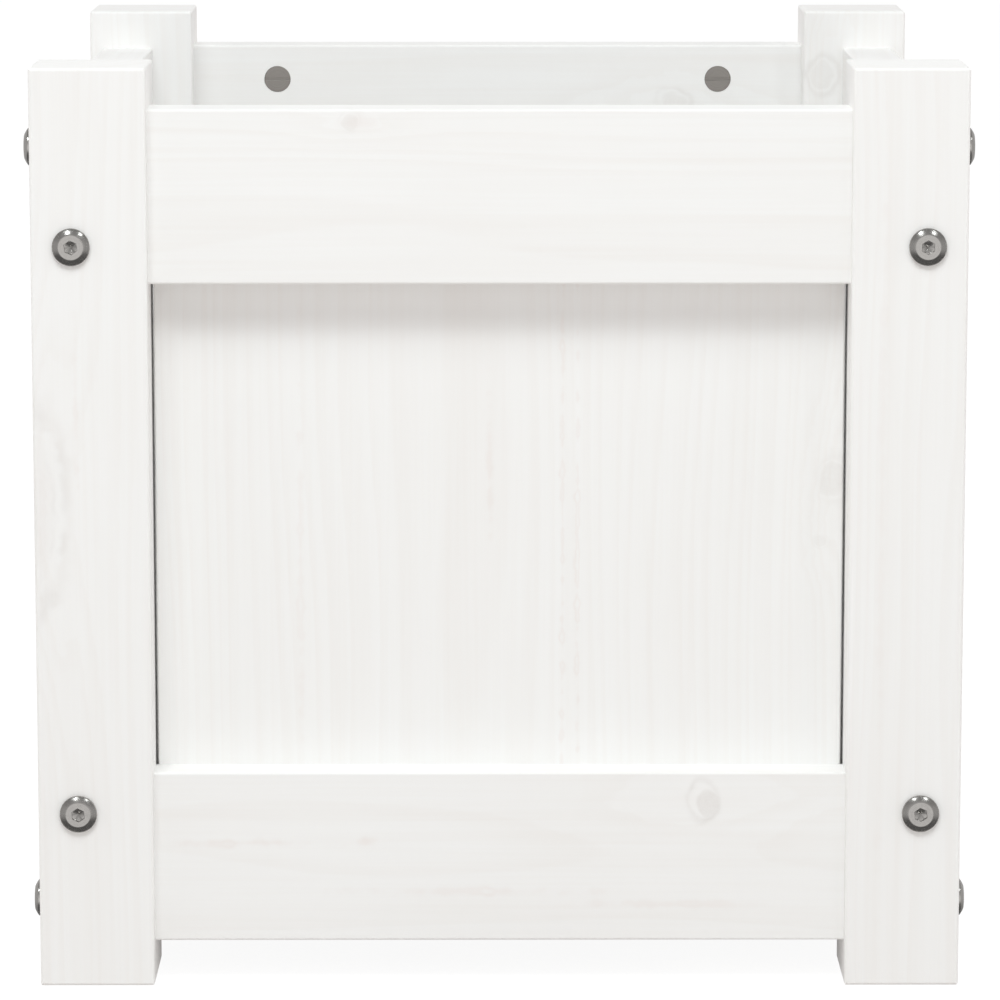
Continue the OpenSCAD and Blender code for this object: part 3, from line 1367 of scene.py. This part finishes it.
@dataclass
class HardwareGrid:
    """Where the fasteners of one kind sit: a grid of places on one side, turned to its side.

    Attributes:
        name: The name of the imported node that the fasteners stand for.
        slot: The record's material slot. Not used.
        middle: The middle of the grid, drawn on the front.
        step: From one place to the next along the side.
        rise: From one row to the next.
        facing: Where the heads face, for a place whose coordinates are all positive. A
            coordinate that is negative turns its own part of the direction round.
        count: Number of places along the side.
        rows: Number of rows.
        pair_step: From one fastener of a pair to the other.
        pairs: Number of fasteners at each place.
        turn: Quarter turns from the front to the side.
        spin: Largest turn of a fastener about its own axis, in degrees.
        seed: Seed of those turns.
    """

    name: str
    slot: str
    middle: Point
    step: Point
    rise: Point
    facing: Point = (0.0, -1.0, 0.0)
    count: int = 2
    rows: int = 2
    pair_step: Point = (0.0, 0.0, 0.0)
    pairs: int = 1
    turn: int = 0
    spin: float = 0.0
    seed: int = 0

    def tree(self) -> bpy.types.NodeTree:
        """Gives the tree that puts a fastener at every place of a grid.

        Returns:
            The tree, with the grid's sizes as its inputs, in metres and radians.
        """
        found = bpy.data.node_groups.get("hardware_grid")
        if found:
            return found
        tree = new_tree(
            "hardware_grid",
            "GeometryNodeTree",
            {
                "Fastener": "Object",
                "Finish": "Material",
                "Middle": "Vector",
                "Step": "Vector",
                "Count": ("Int", 2),
                "Rise": "Vector",
                "Rows": ("Int", 2),
                "Pair Step": "Vector",
                "Pairs": ("Int", 1),
                "Facing": "Vector",
                "Spin": ("Float", 0.0),
                "Seed": ("Int", 0),
                "Turn": ("Float", 0.0),
            },
            {"Fasteners": "Geometry"},
        )
        given = add(tree, "NodeGroupInput").outputs
        # A line of places, copied to each row, and that copied to each fastener of a pair.
        places = None
        for step, count in (("Step", "Count"), ("Rise", "Rows"), ("Pair Step", "Pairs")):
            half = add(tree, MATH, {0: given[count], 1: -0.5, 2: 0.5}, operation="MULTIPLY_ADD")
            start = add(tree, VECTOR_MATH, {0: given[step], "Scale": half}, operation="SCALE")
            line = add(
                tree,
                "GeometryNodeMeshLine",
                {"Count": given[count], "Start Location": start, "Offset": given[step]},
            )
            if places is None:
                places = line
                continue
            copies = add(tree, "GeometryNodeInstanceOnPoints", {"Points": places, "Instance": line})
            places = add(tree, "GeometryNodeRealizeInstances", {0: copies})
        moved = add(
            tree, "GeometryNodeSetPosition", {"Geometry": places, "Offset": given["Middle"]}
        )
        where = add(tree, "GeometryNodeInputPosition")
        sign = add(tree, VECTOR_MATH, {0: where}, operation="SIGN")
        facing = add(tree, VECTOR_MATH, {0: given["Facing"], 1: sign}, operation="MULTIPLY")
        aimed = add(tree, "FunctionNodeAlignRotationToVector", {"Vector": facing}, axis="Z")
        # Sockets 3 and 1 are the largest value and the result, where the random value is a number.
        chance = add(
            tree,
            "FunctionNodeRandomValue",
            {3: given["Spin"], "Seed": given["Seed"]},
            data_type="FLOAT",
        )
        about = add(
            tree,
            "FunctionNodeAxisAngleToRotation",
            {"Axis": (0.0, 0.0, 1.0), "Angle": chance.outputs[1]},
        )
        spun = add(
            tree,
            "FunctionNodeRotateRotation",
            {"Rotation": aimed, "Rotate By": about},
            rotation_space="LOCAL",
        )
        fastener = add(
            tree, "GeometryNodeObjectInfo", {"Object": given["Fastener"]}
        ).outputs["Geometry"]
        set_in = add(
            tree,
            "GeometryNodeInstanceOnPoints",
            {"Points": moved, "Instance": fastener, "Rotation": spun},
        )
        quarter = add(tree, "ShaderNodeCombineXYZ", {"Z": given["Turn"]})
        at_side = add(tree, "GeometryNodeTransform", {"Geometry": set_in, "Rotation": quarter})
        plain = add(tree, "GeometryNodeRealizeInstances", {0: at_side})
        dressed = add(
            tree, "GeometryNodeSetMaterial", {"Geometry": plain, "Material": given["Finish"]}
        )
        add(tree, "NodeGroupOutput", {"Fasteners": dressed})
        return tree

    def fit(self, fastener: bpy.types.Mesh, finish: bpy.types.Material) -> bpy.types.Object:
        """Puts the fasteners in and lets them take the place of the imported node.

        Args:
            fastener: One fastener, drawn from nought down.
            finish: Its finish.

        Returns:
            The piece.
        """
        pattern = on_bench("bench_fastener", fastener)
        sizes = {
            "Fastener": pattern,
            "Finish": finish,
            "Middle": [v * MM for v in self.middle],
            "Step": [v * MM for v in self.step],
            "Count": self.count,
            "Rise": [v * MM for v in self.rise],
            "Rows": self.rows,
            "Pair Step": [v * MM for v in self.pair_step],
            "Pairs": self.pairs,
            "Facing": list(self.facing),
            "Spin": math.radians(self.spin),
            "Seed": self.seed,
            "Turn": self.turn * math.pi / 2,
        }
        carrier = on_bench("bench_grid", bpy.data.meshes.new("bench_grid"))
        mesh = run_tree(self.tree(), carrier, sizes, self.name)
        bpy.data.objects.remove(pattern)
        piece = on_bench(f"{self.name}_made", mesh)
        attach(piece, "root")
        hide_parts(self.name)
        log.info("%s: %d faces for %s", piece.name, len(mesh.polygons), self.name)
        return piece


# ---- Sub-assemblies ----


@dataclass
class Boards:
    """A set of boards that stay as packed and get their own grain.

    Attributes:
        label: What the set is called in the log.
        boards: The boards.
        finish: Their finish.
    """

    label: str
    boards: tuple[Board, ...]
    finish: StainedPine = StainedPine()

    def dress(self) -> None:
        """Gives every board of the set its material."""
        for board in self.boards:
            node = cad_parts[board.node]
            material = self.finish.material(board)
            for socket in node.material_slots:
                socket.material = material
            log.info("%s: %s has %d flaws", self.label, board.node, len(board.flaws))


@dataclass
class CornerJoints:
    """The knock-down joints between the rails and the posts.

    At each end of a rail a bolt through the post pulls on a barrel nut in the rail, and a dowel
    32 mm above or below it stops the rail turning. The front and back rails have their bolts on
    the outer line and the side rails on the inner, so that the bolts pass each other in a post.

    Attributes:
        width: Width over the posts.
        post: Width of a post.
        joint_y: The line of the bolts and dowels, drawn on the front.
        nut_y: The slotted ends of the barrel nuts, drawn on the front.
        nut_in: Distance of a nut from the rail's end.
        middle_z: Half-way between the upper and the lower lines.
        outer_gap: Distance between the two outer lines.
        inner_gap: Distance between the two inner lines.
        bolt: The bolt.
        nut: The barrel nut.
        dowel: The dowel.
    """

    width: float = 310.0
    post: float = 38.5
    joint_y: float = -141.5
    nut_y: float = -132.5
    nut_in: float = 32.0
    middle_z: float = 155.25
    outer_gap: float = 255.5
    inner_gap: float = 191.5
    bolt: DomedBolt = field(default_factory=DomedBolt)
    nut: BarrelNut = field(default_factory=BarrelNut)
    dowel: FlutedDowel = field(default_factory=FlutedDowel)

    def build(self) -> None:
        """Fits the bolts, nuts and dowels of the four sides."""
        steel = PlatedSteel("zinc_plated_bolt_steel").material()
        # The nuts get a darker copy of the bolts' plated steel. This is painted shade: it darkens
        # them the way the shaded inner rail face that they mirror does.
        cast = PlatedSteel(
            "zinc_plated_nut_steel", base="#98938F", roughness=(0.3, 0.42), lathe_depth=0.008
        ).material()
        beech = RawBeech().material()
        rail = self.width - 2 * self.post
        outwards = (1.0, 0.0, 0.0)
        for side in Side:
            gaps = (self.outer_gap, self.inner_gap)
            bolt_gap, dowel_gap = gaps if side.runs_across else gaps[::-1]
            HardwareGrid(
                f"bolts_{side.word}_rails",
                "bolt_steel",
                middle=(0.0, self.joint_y, self.middle_z),
                step=(self.width, 0.0, 0.0),
                rise=(0.0, 0.0, bolt_gap),
                facing=outwards,
                turn=side.value,
                spin=8.0,
                seed=11 + side.value,
            ).fit(self.bolt.mesh(steel), steel)
            HardwareGrid(
                f"nuts_{side.word}_rails",
                "nut_steel",
                middle=(0.0, self.nut_y, self.middle_z),
                step=(rail - 2 * self.nut_in, 0.0, 0.0),
                rise=(0.0, 0.0, bolt_gap),
                turn=side.value,
            ).fit(self.nut.mesh(cast), cast)
            HardwareGrid(
                f"dowels_{side.word}_rails",
                "dowel_beech",
                middle=(0.0, self.joint_y, self.middle_z),
                step=(rail, 0.0, 0.0),
                rise=(0.0, 0.0, dowel_gap),
                facing=outwards,
                turn=side.value,
                spin=360.0,
                seed=31 + side.value,
            ).fit(self.dowel.mesh(beech), beech)


@dataclass
class PinsAndScrews:
    """The small fasteners: pins that hold the panels, and screws that hold the floor.

    Attributes:
        panel_inner_y: The inner face of a panel, drawn on the front.
        pin_step: From one pin to the next along a panel.
        pin_rise: From the lower pins to the upper.
        pin_middle_z: Half-way between them.
        batten_face: Distance of a batten's inner face from the middle.
        batten_z: Height of the screws through the battens.
        batten_screw: Length of those screws.
        slat_step: From one floor slat to the next.
        slat_pair: Distance between the two screws at one end of a slat.
        slat_reach: Distance of the slat screws from the middle.
        slat_top: Top of the floor slats.
        slat_screw: Length of the slat screws.
    """

    panel_inner_y: float = -124.5
    pin_step: float = 80.5
    pin_rise: float = 172.0
    pin_middle_z: float = 155.25
    batten_face: float = 111.5
    batten_z: float = 49.0
    batten_screw: float = 30.0
    slat_step: float = 63.0
    slat_pair: float = 32.0
    slat_reach: float = 117.5
    slat_top: float = 70.0
    slat_screw: float = 25.0

    def build(self) -> None:
        """Fits the pins of the four panels and the screws of the floor."""
        steel = PlatedSteel("zinc_plated_screw_steel", roughness=(0.26, 0.4)).material()
        pin = PanelPin()
        for side in Side:
            HardwareGrid(
                f"pins_panel_{side.word}",
                "screw_steel",
                middle=(0.0, self.panel_inner_y, self.pin_middle_z),
                step=(self.pin_step, 0.0, 0.0),
                rise=(0.0, 0.0, self.pin_rise),
                count=3,
                turn=side.value,
            ).fit(pin.mesh(steel), steel)
        HardwareGrid(
            "batten_screws",
            "screw_steel",
            middle=(0.0, 0.0, self.batten_z),
            step=(self.slat_step, 0.0, 0.0),
            rise=(0.0, 2 * self.batten_face, 0.0),
            count=3,
            spin=90.0,
            seed=5,
        ).fit(FloorScrew(self.batten_screw).mesh(steel), steel)
        HardwareGrid(
            "slat_screws",
            "screw_steel",
            middle=(0.0, 0.0, self.slat_top),
            step=(self.slat_step, 0.0, 0.0),
            rise=(0.0, 2 * self.slat_reach, 0.0),
            facing=(0.0, 0.0, 1.0),
            count=4,
            pair_step=(self.slat_pair, 0.0, 0.0),
            pairs=2,
            spin=90.0,
            seed=8,
        ).fit(FloorScrew(self.slat_screw).mesh(steel), steel)


@dataclass(frozen=True)
class SoftLight:
    """A soft light on a stand.

    Attributes:
        azimuth: Its direction from the front, in degrees, positive to the right.
        elevation: Its height above the horizon, in degrees.
        width: Width of its face, in metres.
        share: How much of a white card's brightness it gives when it shines straight on it.
        mirrored: True where the metal mirrors it.
        distance: Its distance from the planter, in metres.
        tint: Its colour, a little cooler than the room's.
    """

    azimuth: float
    elevation: float
    width: float
    share: float
    mirrored: bool = True
    distance: float = 2.2
    tint: str = "#F5FBFC"


@dataclass
class Studio:
    """A plain pale floor, a pale room, three soft lights and the camera.

    The room is dimmer behind the camera, and its light is strongest 9 to 17 degrees up, so the
    shade of the upper rails on the panels stays deep. The floor glows round the planter and
    lights it from below, as a lit table does.

    Attributes:
        camera_at: The camera's place.
        pitch: How far it looks down, in degrees.
        yaw: How far it looks to the right, in degrees.
        lens: Its focal length on a sensor 36 mm wide.
        horizon: Brightness of the room's light at the horizon.
        walls: Brightness of its light from the walls, 9 to 17 degrees up.
        ceiling: Brightness of its light from more than 37 degrees up.
        room: The room's colour.
        floor: The floor's colour.
        floor_reach: Half the floor's width, in metres.
        floor_glow: Brightness of the light that comes up through the floor.
        glow_colour: The colour of that light.
        glow_from: Where it begins and where it is full, in metres from the planter's middle.
        floor_shown: What the floor shows the eye by itself, where 1 is white.
        shadow_shown: How much of the planter's shadow it adds.
        aim: The point that the lights face.
        lights: The soft lights.
    """

    camera_at: Point = (-4.46, -1850.0, 445.0)
    pitch: float = 9.336
    yaw: float = 0.156
    lens: float = 185.8
    horizon: float = 0.36
    walls: float = 1.43
    ceiling: float = 0.42
    room: str = "#FFFCFB"
    floor: str = "#AEAAA8"
    floor_reach: float = 14.0
    floor_glow: float = 0.34
    glow_colour: str = "#FFFBF8"
    glow_from: tuple[float, float] = (0.09, 0.19)
    floor_shown: float = 0.92
    shadow_shown: float = 0.15
    aim: Point = (0.0, 0.0, 150.0)
    lights: tuple[SoftLight, ...] = (
        SoftLight(azimuth=-27.0, elevation=50.0, width=0.36, share=0.1),
        SoftLight(azimuth=38.0, elevation=46.0, width=0.32, share=0.064),
        SoftLight(azimuth=-3.0, elevation=54.0, width=1.0, share=0.405, mirrored=False),
    )

    def build(self) -> None:
        """Sets up the camera, the lights, the room and the floor."""
        self._camera()
        for number, light in enumerate(self.lights):
            self._light(light, number)
        self._room()
        self._floor()
        bpy.context.scene.view_settings.view_transform = "Standard"
        log.info("studio: camera, %d lights, room and floor", len(self.lights))

    def _camera(self) -> None:
        """Puts the camera at the photographed angle."""
        data = bpy.data.cameras.new("camera")
        data.lens = self.lens
        data.sensor_width = 36.0
        data.clip_start, data.clip_end = 0.05, 60.0
        camera = bpy.data.objects.new("camera", data)
        camera.location = Vector(self.camera_at) * MM
        camera.rotation_euler = (math.radians(90.0 - self.pitch), 0.0, math.radians(-self.yaw))
        bpy.context.scene.collection.objects.link(camera)
        bpy.context.scene.camera = camera

    def _light(self, light: SoftLight, number: int) -> None:
        """Hangs one soft light.

        Args:
            light: The light.
            number: Its number.
        """
        azimuth, elevation = math.radians(light.azimuth), math.radians(light.elevation)
        towards = Vector(
            (
                math.sin(azimuth) * math.cos(elevation),
                -math.cos(azimuth) * math.cos(elevation),
                math.sin(elevation),
            )
        )
        data = bpy.data.lights.new(f"soft_light_{number}", "AREA")
        data.shape = "DISK"
        data.size = light.width
        data.energy = light.share * (math.pi * light.distance) ** 2
        data.color = linear(light.tint)[:3]
        lamp = bpy.data.objects.new(data.name, data)
        lamp.location = Vector(self.aim) * MM + towards * light.distance
        lamp.rotation_euler = towards.to_track_quat("Z", "Y").to_euler()
        lamp.visible_camera = False
        lamp.visible_glossy = light.mirrored
        bpy.context.scene.collection.objects.link(lamp)

    def _room(self) -> None:
        """Makes the room: white behind the planter, and light that is strongest from the walls.

        Metal mirrors the room as white at eye level in front, greyer to the sides and overhead,
        and dark towards the ground, which is what gives its domes their form.
        """
        world = bpy.data.worlds.new("pale_room")
        tree = cleared(world)
        coords = add(tree, "ShaderNodeTexCoord")
        heading = add(tree, "ShaderNodeSeparateXYZ", {0: coords.outputs["Generated"]}).outputs

        # Each grade is a smooth change along one coordinate of the direction. The first four are
        # what metal mirrors: above and below eye level, towards the front and towards the back.
        # The others light the planter: up to the walls, on to the ceiling, and behind the camera.
        grades: dict[str, bpy.types.Node] = {}
        for label, source, start, end, low, high in (
            ("Above", Axis.UP, 0.08, 0.55, 1.0, 0.66),
            ("Below", Axis.UP, -0.58, -0.2, 0.29, 1.0),
            ("Front", Axis.DEEP, -0.95, -0.6, 1.0, 0.5),
            ("Back", Axis.DEEP, -0.2, 0.05, 0.5, 0.6),
            ("Rising", Axis.UP, 0.0, 0.15, self.horizon, self.walls),
            ("Falling", Axis.UP, 0.3, 0.6, self.walls, self.ceiling),
            ("Behind", Axis.DEEP, -0.95, -0.2, 0.44, 1.15),
        ):
            grades[label] = add(
                tree,
                MAP_RANGE,
                {
                    "Value": heading[source.value],
                    "From Min": start,
                    "From Max": end,
                    "To Min": low,
                    "To Max": high,
                },
                **SMOOTH,
            )
        mirrored = add(tree, MATH, {0: grades["Front"], 1: grades["Back"]}, operation="MAXIMUM")
        for label in ("Above", "Below"):
            mirrored = add(tree, MATH, {0: mirrored, 1: grades[label]}, operation="MULTIPLY")
        upwards = add(tree, MATH, {0: grades["Rising"], 1: grades["Falling"]}, operation="MINIMUM")
        cast = add(tree, MATH, {0: upwards, 1: grades["Behind"]}, operation="MULTIPLY")
        path = add(tree, "ShaderNodeLightPath").outputs
        shown = add(tree, "ShaderNodeBackground", {"Color": linear(self.room), "Strength": cast})
        for ray, level in (
            ("Is Glossy Ray", mirrored), ("Is Transmission Ray", 1.0), ("Is Camera Ray", 1.0)
        ):
            white = add(
                tree, "ShaderNodeBackground", {"Color": linear("#FFFFFF"), "Strength": level}
            )
            shown = add(tree, "ShaderNodeMixShader", {0: path[ray], 1: shown, 2: white})
        add(tree, "ShaderNodeOutputWorld", {"Surface": shown})
        bpy.context.scene.world = world

    def _floor(self) -> None:
        """Lays the floor: a glowing table to the light, clear to metal, and white to the eye.

        The eye sees it lit by itself to just under white, so that the planter's shadow shows.
        """
        mesh = bpy.data.meshes.new("floor")
        reach = self.floor_reach
        corners = [
            (-reach, -reach, 0.0), (reach, -reach, 0.0), (reach, reach, 0.0), (-reach, reach, 0.0)
        ]
        mesh.from_pydata(corners, [], [(0, 1, 2, 3)])
        mat = bpy.data.materials.new("pale_floor")
        tree = cleared(mat)
        path = add(tree, "ShaderNodeLightPath").outputs
        coords = add(tree, "ShaderNodeTexCoord")
        away = add(
            tree, VECTOR_MATH, {0: coords.outputs["Object"]}, operation="LENGTH"
        ).outputs["Value"]
        strength = add(
            tree,
            MAP_RANGE,
            {
                "Value": away,
                "From Min": self.glow_from[0],
                "From Max": self.glow_from[1],
                "To Min": 0.0,
                "To Max": self.floor_glow,
            },
            **SMOOTH,
        )
        below = add(
            tree, "ShaderNodeEmission", {"Color": linear(self.glow_colour), "Strength": strength}
        )
        matt = add(tree, "ShaderNodeBsdfDiffuse", {"Color": linear(self.floor)})
        pale = add(tree, "ShaderNodeAddShader", {0: matt, 1: below})
        grey = self.shadow_shown
        faint = add(tree, "ShaderNodeBsdfDiffuse", {"Color": (grey, grey, grey, 1.0)})
        itself = add(tree, "ShaderNodeEmission", {"Strength": self.floor_shown})
        white = add(tree, "ShaderNodeAddShader", {0: faint, 1: itself})
        clear = add(tree, "ShaderNodeBsdfTransparent")
        shown = pale
        for ray, look in (
            ("Is Glossy Ray", clear), ("Is Transmission Ray", white), ("Is Camera Ray", white)
        ):
            shown = add(tree, "ShaderNodeMixShader", {0: path[ray], 1: shown, 2: look})
        add(tree, "ShaderNodeOutputMaterial", {"Surface": shown})
        mesh.materials.append(mat)
        on_bench("floor", mesh)


def knot(across: float, along: float, radius: float, strength: float = 0.15, **more: Any) -> Flaw:
    """Gives a knot at a place of a board's face."""
    return Flaw(Mark.KNOT, across, along, radius, strength=strength, **more)


def streak(across: float, along: float, half_width: float, length: float, strength: float) -> Flaw:
    """Gives a streak of a length along the grain."""
    return Flaw(Mark.STREAK, across, along, half_width, length / (2 * half_width), strength)


POSTS = Boards(
    "posts",
    (
        Board(
            "post_front_left",
            Axis.UP,
            (-34.0, 26.0),
            3.4,
            1.0,
            (
                knot(-19.6, 8.5, 10.9, 0.03, rim=0.1, stretch=3.0, lean=(0.0, 0.0), flow=3.0),
                knot(-19.6, 6.8, 6.2, 0.04, rim=0.08, stretch=3.8, lean=(0.0, 0.0), flow=0.0),
                streak(-16.5, 17.0, 3.8, 20.0, 0.03),
                streak(-17.0, 0.0, 3.4, 30.0, 0.03),
                streak(-5.0, 44.0, 1.0, 34.0, 0.06),
            ),
        ),
        Board(
            "post_front_right",
            Axis.UP,
            (30.0, 40.0),
            3.1,
            2.0,
            (streak(-8.5, 20.0, 1.2, 260.0, 0.03),),
        ),
        Board("post_back_left", Axis.UP, (22.0, -38.0), 3.6, 3.0, (knot(4.0, -62.0, 4.6),)),
        Board(
            "post_back_right",
            Axis.UP,
            (-26.0, -30.0),
            3.3,
            4.0,
            (knot(-12.0, 131.0, 6.0, 0.08, flow=3.0),),
        ),
    ),
)

RAILS = Boards(
    "rails",
    (
        Board(
            "top_rail_front",
            Axis.ACROSS,
            (-9.0, 38.0),
            3.6,
            5.0,
            (
                knot(24.3, -49.6, 3.5, 0.08, rim=0.03, stretch=0.9, flow=1.0),
                streak(24.5, -47.0, 3.0, 13.0, 0.07),
            ),
        ),
        Board("top_rail_back", Axis.ACROSS, (12.0, -36.0), 3.2, 6.0, (knot(7.5, 67.7, 5.0, 0.08),)),
        Board("top_rail_left", Axis.DEEP, (14.0, 33.0), 3.4, 7.0, (knot(-11.0, 38.0, 3.6),)),
        Board("top_rail_right", Axis.DEEP, (-12.0, -35.0), 3.1, 8.0, (knot(13.0, -52.0, 4.2),)),
        Board(
            "bottom_rail_front",
            Axis.ACROSS,
            (6.0, 42.0),
            3.9,
            9.0,
            (
                knot(17.7, 70.5, 7.0, 0.14, rim=0.19, stretch=0.7, lean=(1.3, -1.9), flow=1.6),
                streak(4.7, -86.0, 1.5, 52.0, 0.08),
                streak(5.0, -45.0, 1.8, 6.0, 0.09),
                streak(-12.0, -10.0, 1.5, 76.0, 0.07),
                streak(-16.5, 62.0, 1.5, 56.0, 0.06),
            ),
        ),
        Board(
            "bottom_rail_back", Axis.ACROSS, (-10.0, -34.0), 3.3, 10.0, (knot(-9.0, -58.0, 4.4),)
        ),
        Board("bottom_rail_left", Axis.DEEP, (9.0, 40.0), 3.5, 11.0, (knot(14.0, -30.0, 3.2),)),
        Board(
            "bottom_rail_right",
            Axis.DEEP,
            (-13.0, 31.0),
            3.7,
            12.0,
            (streak(3.0, 20.0, 1.3, 70.0, 0.07),),
        ),
    ),
)

PANELS = Boards(
    "panels",
    (
        Board(
            "panel_front",
            Axis.UP,
            (-12.0, 46.0),
            4.4,
            13.0,
            (
                knot(111.8, 15.5, 5.2, 0.09, rim=0.05, stretch=1.6, flow=2.2),
                knot(108.0, -6.0, 2.8, 0.05, rim=0.05, stretch=0.8, flow=1.2),
                streak(-3.4, 22.0, 1.2, 46.0, 0.08),
                streak(21.2, 0.0, 0.6, 220.0, 0.07),
                streak(26.3, -8.0, 0.55, 220.0, 0.07),
                streak(-67.0, -10.0, 1.0, 190.0, 0.05),
            ),
        ),
        Board(
            "panel_back",
            Axis.UP,
            (30.0, -48.0),
            4.1,
            14.0,
            (knot(-44.0, 31.0, 5.0), knot(63.0, -40.0, 3.4)),
        ),
        Board(
            "panel_left",
            Axis.UP,
            (18.0, 44.0),
            4.2,
            15.0,
            (knot(52.0, 36.0, 4.4), knot(-30.0, -52.0, 5.2)),
        ),
        Board(
            "panel_right",
            Axis.UP,
            (-26.0, 47.0),
            4.3,
            16.0,
            (knot(-58.0, -14.0, 4.8), knot(21.0, 60.0, 3.2)),
        ),
    ),
)

FLOOR = Boards(
    "floor",
    (
        Board("floor_slat_left", Axis.DEEP, (8.0, -30.0), 3.3, 17.0, (knot(9.0, 44.0, 4.0),)),
        Board(
            "floor_slat_mid_left", Axis.DEEP, (-14.0, 36.0), 3.6, 18.0, (knot(-12.0, -36.0, 3.4),)
        ),
        Board(
            "floor_slat_mid_right",
            Axis.DEEP,
            (3.0, 42.0),
            3.2,
            19.0,
            (streak(6.0, 0.0, 1.4, 120.0, 0.08),),
        ),
        Board("floor_slat_right", Axis.DEEP, (-10.0, -33.0), 3.5, 20.0, (knot(4.0, 62.0, 4.6),)),
        Board("floor_batten_front", Axis.ACROSS, (20.0, 14.0), 2.9, 21.0),
        Board("floor_batten_back", Axis.ACROSS, (-18.0, 20.0), 3.0, 22.0),
    ),
)


def main() -> None:
    """Builds the planter's looks, piece by piece, and the studio round it."""
    logging.basicConfig(level=logging.INFO, format="%(name)s %(message)s", stream=sys.stdout)
    for boards in (POSTS, RAILS, PANELS, FLOOR):
        boards.dress()
    CornerJoints().build()
    PinsAndScrews().build()
    Studio().build()


if __name__ == "__main__":
    main()
